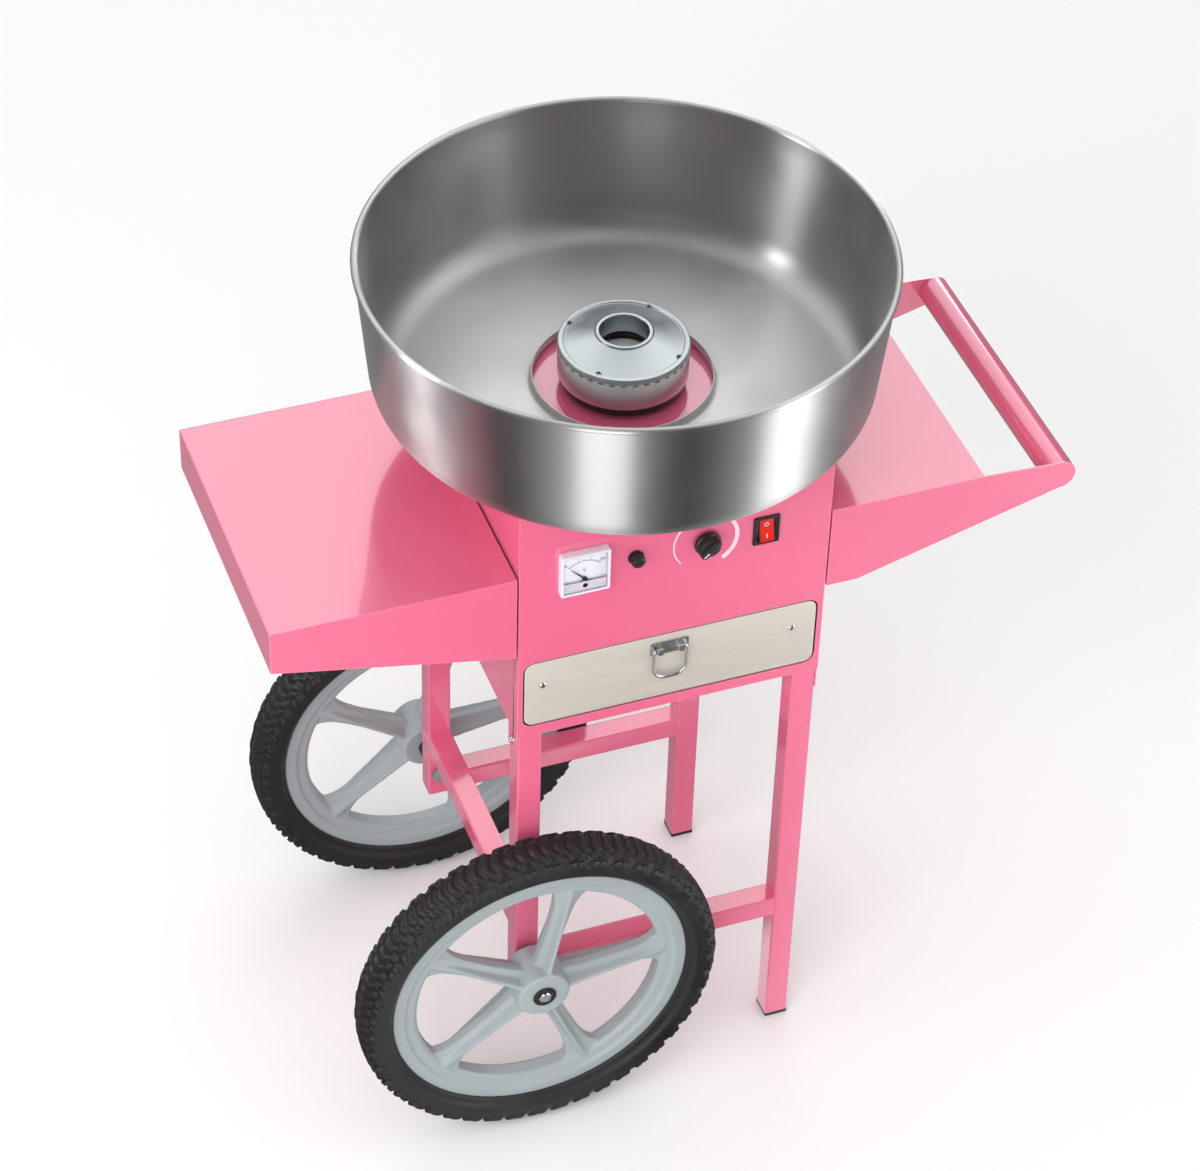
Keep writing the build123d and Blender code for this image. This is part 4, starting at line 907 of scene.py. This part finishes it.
def make_drawer_front():
    """The drawer's plate with rounded edges, and its two pop rivets."""
    rivet_r, tail = 3.6, 1.2
    low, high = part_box("drawer_front")
    mid = (low + high) / 2
    place = front_frame(mid.x, high.y, mid.z)
    bm = bmesh.new()
    half_x, half_z = (high.x - low.x) / 2 / MM, (high.z - low.z) / 2 / MM
    skin(bm, place, square_rings(half_x, half_z, 10, [
        (0.3, 0), (0, 0.3), (0, 1.1), (0.15, 1.38), (0.5, 1.5)]))
    mesh_piece("drawer_face", bm, "drawer_steel", "drawer", ["drawer_front"], sharp=50)
    bm = bmesh.new()
    rivets_low, rivets_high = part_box("drawer_rivets")
    rivet_z = middle("drawer_rivets").z
    dome = scaled([
        (0, 1.15), (1.2, 1.1), (2.4, 0.85), (3.3, 0.45), (rivet_r, 0.1), (rivet_r, 0), (0, 0),
    ])
    upset = scaled([(0, 0), (2.9, 0), (3.2, -0.5), (2.6, -tail), (0, -tail)])
    for x in (rivets_low.x + rivet_r * MM, rivets_high.x - rivet_r * MM):
        lathe(bm, dome, front_frame(x, low.y, rivet_z), 40, closed=False)
        lathe(bm, upset, front_frame(x, rivets_high.y - tail * MM, rivet_z), 40, closed=False)
    mesh_piece("pop_rivets", bm, "bright_steel", "drawer", ["drawer_rivets"])


SCALE_R = 21.4          # the voltmeter's printed scale
SCALE_MARKS = 31
SCALE_HALF_SWEEP = 45   # degrees either side of straight up
FIGURES_R = 27.0 * MM


def make_voltmeter():
    """The voltmeter's case, window, printed dial, mask with its zero screw, and needle."""
    low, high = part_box("voltmeter_case")
    centre_x, centre_z = (low.x + high.x) / 2, (low.z + high.z) / 2
    centre = front_frame(centre_x, PANEL_Y, centre_z)
    bm = bmesh.new()
    skin(bm, centre, square_rings(25, 25, 2.5, [
        (0.3, 0), (0, 0.3), (0, 8.0), (0.35, 8.7), (1.0, 9.0), (2.4, 9.0), (3.0, 8.5), (3.0, 2.0)]))
    skin(bm, centre, square_rings(22.5, 22.5, 22.4, [(0, 0), (0, -25), (1, -26)]))
    mesh_piece("meter_case", bm, "meter_plastic", "cart", ["voltmeter_case"], sharp=40)
    bm = bmesh.new()
    skin(bm, centre, square_rings(21.8, 21.8, 1.5, [(0.3, 7.1), (0, 7.3), (0, 8.3), (0.3, 8.6)]))
    mesh_piece("meter_window", bm, "meter_glass", "cart", ["voltmeter_window"])
    pivot_z = low.z + 16 * MM
    face_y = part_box("voltmeter_dial")[0].y
    dial = front_frame(centre_x, face_y, pivot_z)
    bm = bmesh.new()
    printed_arc(bm, dial, SCALE_R * MM, -SCALE_HALF_SWEEP, SCALE_HALF_SWEEP, 0.35 * MM, 0.35 * MM)
    for k in range(SCALE_MARKS):
        turn = SCALE_HALF_SWEEP - 3 * k
        half_wide = (0.22 if k % 5 == 0 else 0.12) * MM
        length = 3.2 if k % 10 == 0 else 2.2 if k % 5 == 0 else 1.3
        reach = SCALE_R + length / 2
        angle = math.radians(90 + turn)
        spot = (reach * MM * math.cos(angle), reach * MM * math.sin(angle))
        printed_bar(bm, dial, half_wide, length / 2 * MM, spot, turn)
    mesh_piece("meter_scale", bm, "print_black", "cart", record_slot="needle_black")
    for k, figures in enumerate(("0", "100", "200", "300")):
        turn = math.radians(135 - 30 * k)
        spot = Matrix.Translation((
            FIGURES_R * math.cos(turn) * 0.97, FIGURES_R * math.sin(turn), 0,
        ))
        text_piece(f"meter_figures_{k}", figures, dial @ spot, 4.2 * MM, "print_black", "cart",
                   "needle_black")
    text_piece("meter_unit", "V", dial @ Matrix.Translation((0, 9.5 * MM, 0)), 5.0 * MM,
               "print_black", "cart", "needle_black")
    bm = bmesh.new()
    mask = centre @ Matrix.Translation((0, -16.4 * MM, 0))
    skin(bm, mask, square_rings(21.6, 5.2, 0.8, [(0.3, 5.4), (0, 5.6), (0, 6.3), (0.3, 6.6)]))
    mesh_piece("meter_mask", bm, "meter_plastic", "cart")
    bm = bmesh.new()
    screw_head(bm, mask @ Matrix.Translation((0, 0.6 * MM, 6.5 * MM)), 2.6 * MM, 0.5 * MM)
    mesh_piece("meter_zero_screw", bm, "black_plastic", "cart")
    bm = bmesh.new()
    needle_y = middle("voltmeter_needle").y
    hub = front_frame(centre_x, needle_y, pivot_z, SCALE_HALF_SWEEP)
    blade = scaled([(-1.1, -5), (1.1, -5), (0.28, 19), (-0.28, 19)])
    skin(bm, hub, [(blade, -0.15 * MM), (blade, 0.15 * MM)])
    boss = scaled([(0, -0.3), (2.4, -0.3), (2.6, 0), (2.4, 0.45), (0, 0.45)])
    lathe(bm, boss, hub, 40, closed=False)
    mesh_piece("meter_needle", bm, "needle_black", "meter_pointer", ["voltmeter_needle"])


CAP_FLUTES = 20
KNOB_FLUTES = 32


def make_fuse_cap():
    """The fuse holder's knurled cap with its cross slot, and the stem behind it."""
    low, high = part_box("fuse_cap")
    mid = (low + high) / 2
    place = front_frame(mid.x, low.y, mid.z)
    bm = bmesh.new()
    skin(bm, place, [(fluted(r, deep, CAP_FLUTES), h * MM) for r, deep, h in (
        (6.7, 0.2, -8.7), (7, 0.5, -8.4), (7, 0.5, -1.9), (6.4, 0.3, -1.1), (5.9, 0, -1.0))])
    screw_head(bm, place @ Matrix.Translation((0, 0, -1.1 * MM)), 5.8 * MM, 1.1 * MM, 0.8)
    stem = fluted(3.3, 0, CAP_FLUTES)
    skin(bm, place, [(stem, -(high.y - low.y)), (stem, -8.6 * MM)])
    mesh_piece("fuse_cap_knurled", bm, "black_plastic", "fuse_carrier", ["fuse_cap"])


def make_knob():
    """The heat knob with its grip and pointer line, and the printed dial around it."""
    low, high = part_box("temperature_knob")
    mid = (low + high) / 2
    place = front_frame(mid.x, high.y, mid.z, 135)
    tall = (high.y - low.y) / MM
    bm = bmesh.new()
    skirt = scaled([
        (0, 0), (13.1, 0), (13.5, 0.5), (13.5, 2.4), (12.9, 3.4), (11.4, 4.2), (0, 4.2),
    ])
    lathe(bm, skirt, place, closed=False)
    skin(bm, place, [(fluted(r, deep, KNOB_FLUTES), h * MM) for r, deep, h in (
        (11.2, 0.55, 3.8), (10.9, 0.5, 9.0), (10.2, 0.3, 9.9), (9.4, 0, 10.2))])
    skin(bm, place, [(scaled(box_outline(w, 13.0 - i, w - 0.2)), h * MM) for w, i, h in (
        (4.4, 0.0, 3.9), (3.9, 0.2, 9.5), (3.6, 0.5, tall - 0.9), (3.2, 0.9, tall - 0.25),
        (2.6, 1.5, tall))])
    mesh_piece("heat_knob_body", bm, "black_plastic", "heat_knob", ["temperature_knob"], sharp=38)
    bm = bmesh.new()
    crest = place @ Matrix.Translation((0, 0, tall * MM))
    printed_bar(bm, crest, 0.55 * MM, 3.6 * MM, (0, 7.2 * MM))
    mesh_piece("heat_knob_line", bm, "meter_dial", "heat_knob")
    dial = front_frame(mid.x, PANEL_Y, mid.z)
    bm = bmesh.new()
    printed_arc(bm, dial, 34.0 * MM, -132, 146, 1.0 * MM, 5.2 * MM)
    mesh_piece("heat_dial_arc", bm, "print_white", "cart", record_slot="meter_dial")


ROCKER_TILT = math.radians(12)
LENS_HALF = 7.0
ROCKER_HALF = 8.6
MARK_UP = 6.3 * MM
MARK_OUT = 3.34 * MM
MARK_SLOPE = math.radians(6.7)


def make_switch():
    """The switch's bezel and its lit rocker, with black cheeks and the on and off marks."""
    low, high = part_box("switch_housing")
    centre_x, centre_z = (low.x + high.x) / 2, (low.z + high.z) / 2
    centre = front_frame(centre_x, PANEL_Y, centre_z)
    outer = scaled(box_outline(13.5, 17, 1.5))
    rings = [(outer, 0), (outer, 1.9 * MM)]
    rings += [(scaled(box_outline(x, z, r)), h * MM) for x, z, r, h in (
        (13.1, 16.6, 1.3, 2.35), (12.6, 16.1, 1.0, 2.5), (10.0, 14.4, 0.8, 2.5),
        (9.3, 13.7, 0.5, 2.1), (9.0, 13.4, 0.4, 1.4), (9.0, 13.4, 0.4, -11))]
    bm = bmesh.new()
    skin(bm, centre, rings)
    rear = scaled(box_outline(10.4, 14.4, 0.6))
    skin(bm, centre, [(rear, -11.2 * MM), (rear, -24 * MM)])
    mesh_piece("switch_bezel", bm, "black_plastic", "cart", ["switch_housing"], sharp=38)
    pivot = Vector((centre_x, PANEL_Y + 1.0 * MM, centre_z))
    outward = Vector((0, -math.cos(ROCKER_TILT), math.sin(ROCKER_TILT)))
    upward = Vector((0, math.sin(ROCKER_TILT), math.cos(ROCKER_TILT)))
    axes = Matrix((outward, upward, (-1, 0, 0))).transposed().to_4x4()
    place = Matrix.Translation(pivot) @ axes
    front = [(3.0 + 1.4 * (s / 12.2) ** 2, s) for s in np.linspace(-12.0, 12.0, 17)]
    outline = scaled([
        *front, (4.1, 12.2), (0.5, 11.6), (-7, 5), (-7, -5), (0.5, -11.6), (4.1, -12.2),
    ])
    bm = bmesh.new()
    prism(bm, outline, place, -LENS_HALF * MM, LENS_HALF * MM)
    mesh_piece("lit_rocker", bm, "red_lens", "power_rocker", ["switch_rocker"], sharp=28)
    cheek = [(x + 0.2 * MM if x > 3 * MM else x, y) for x, y in outline]
    bm = bmesh.new()
    for low_x, high_x in ((-ROCKER_HALF, -LENS_HALF), (LENS_HALF, ROCKER_HALF)):
        prism(bm, cheek, place, low_x * MM, high_x * MM, edge=0.35 * MM)
    mesh_piece("rocker_cheeks", bm, "black_plastic", "power_rocker", sharp=28)
    bm = bmesh.new()
    face = Matrix(((1, 0, 0), upward, outward)).transposed().to_4x4()
    lens = Matrix.Translation(pivot) @ face

    def mark_place(side):
        spot = Matrix.Translation((0, side * MARK_UP, MARK_OUT))
        return lens @ spot @ Matrix.Rotation(side * MARK_SLOPE, 4, "X")

    lathe(bm, scaled([(1.65, 0), (2.2, 0), (2.2, 0.22), (1.65, 0.22)]), mark_place(1), 40)
    printed_bar(bm, mark_place(-1), 0.32 * MM, 2.4 * MM, (0, 0), thick=0.22 * MM)
    mesh_piece("rocker_marks", bm, "meter_dial", "power_rocker")


def make_screws():
    """Pan-head screws through the corner tabs and from the shelves into the body."""
    bm = bmesh.new()
    radius, tall = 4.2 * MM, 2.2 * MM
    shelf_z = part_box("left_shelf")[1].z - 30 * MM
    tab_z = PANEL_LOW.z - 13 * MM
    low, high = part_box("panel_screws")
    for leg in ("front_left_leg", "back_left_leg"):
        y = middle(leg).y
        for x, z in ((PANEL_LOW.x, tab_z), (low.x + tall, shelf_z)):
            screw_head(bm, frame_at(x, y, z, (-1, 0, 0), 20), radius, tall)
        for x, z in ((PANEL_HIGH.x, tab_z), (high.x - tall, shelf_z)):
            screw_head(bm, frame_at(x, y, z, (1, 0, 0), 35), radius, tall)
    mesh_piece("pan_head_screws", bm, "bright_steel", "cart", ["panel_screws"])


GLAND_FLUTES = 18
GLAND_OUT = 14 * MM


def make_gland():
    """The cord gland's lock nut, nut and ribbed dome on the back, around an open bore."""
    low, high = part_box("cable_gland")
    mid = (low + high) / 2
    place = frame_at(mid.x, high.y - GLAND_OUT, mid.z, (0, 1, 0))
    count = GLAND_FLUTES * 6
    turns = np.arange(count) / count * TAU
    flat = np.mod(turns, TAU / 6) - TAU / 12
    hexagon = 9.5 / np.cos(flat)

    def ring(radii, height):
        points = zip(radii * np.cos(turns), radii * np.sin(turns))
        return scaled([(float(x), float(y)) for x, y in points]), height * MM

    def round_ring(radius, height, flute=0.0):
        return ring(radius - flute * (0.5 + 0.5 * np.cos(turns * GLAND_FLUTES)), height)

    bm = bmesh.new()
    skin(bm, place, [
        round_ring(4.0, -9.5), round_ring(7.6, -9.5), round_ring(7.6, -6.0),
        ring(hexagon, -6.0), ring(hexagon, -1.3), round_ring(7.9, -1.3), round_ring(7.9, 0.0),
        ring(hexagon, 0.0), ring(hexagon, 4.2), ring(hexagon - 0.5, 4.7), round_ring(8.4, 4.8, 0.5),
        round_ring(8.3, 10.4, 0.5), round_ring(7.3, 12.8, 0.3), round_ring(5.8, 13.9),
        round_ring(4.5, 13.95), round_ring(4.0, 13.5),
    ], caps=False)
    mesh_piece("gland_ribbed", bm, "black_plastic", "cart", ["cable_gland"], sharp=38)


make_drawer_front()
make_voltmeter()
make_fuse_cap()
make_knob()
make_switch()
make_screws()
make_gland()


# ---------------------------------------------------------------- CAD nodes that stay
OWN_LOOKS = {"spinner_band": "head_band_steel", "spinner_pan": "pan_aluminium"}
for node, piece in NODES.items():
    piece.data.materials.clear()
    piece.data.materials.append(LOOKS[OWN_LOOKS.get(node, SLOT_OF[node])])


def soften(node, width):
    """Rounds a sheet part's cut and folded edges with modifiers, as paint does."""
    piece = NODES[node]
    weld = piece.modifiers.new("weld", "WELD")
    weld.merge_threshold = 0.01 * MM
    bevel = piece.modifiers.new("edges", "BEVEL")
    bevel.width = width
    bevel.segments = 2
    bevel.limit_method = "ANGLE"
    bevel.angle_limit = math.radians(40)
    bevel.harden_normals = True


for node in ("right_shelf", "left_side_panel", "right_side_panel", "base_plate"):
    soften(node, 0.5 * MM)
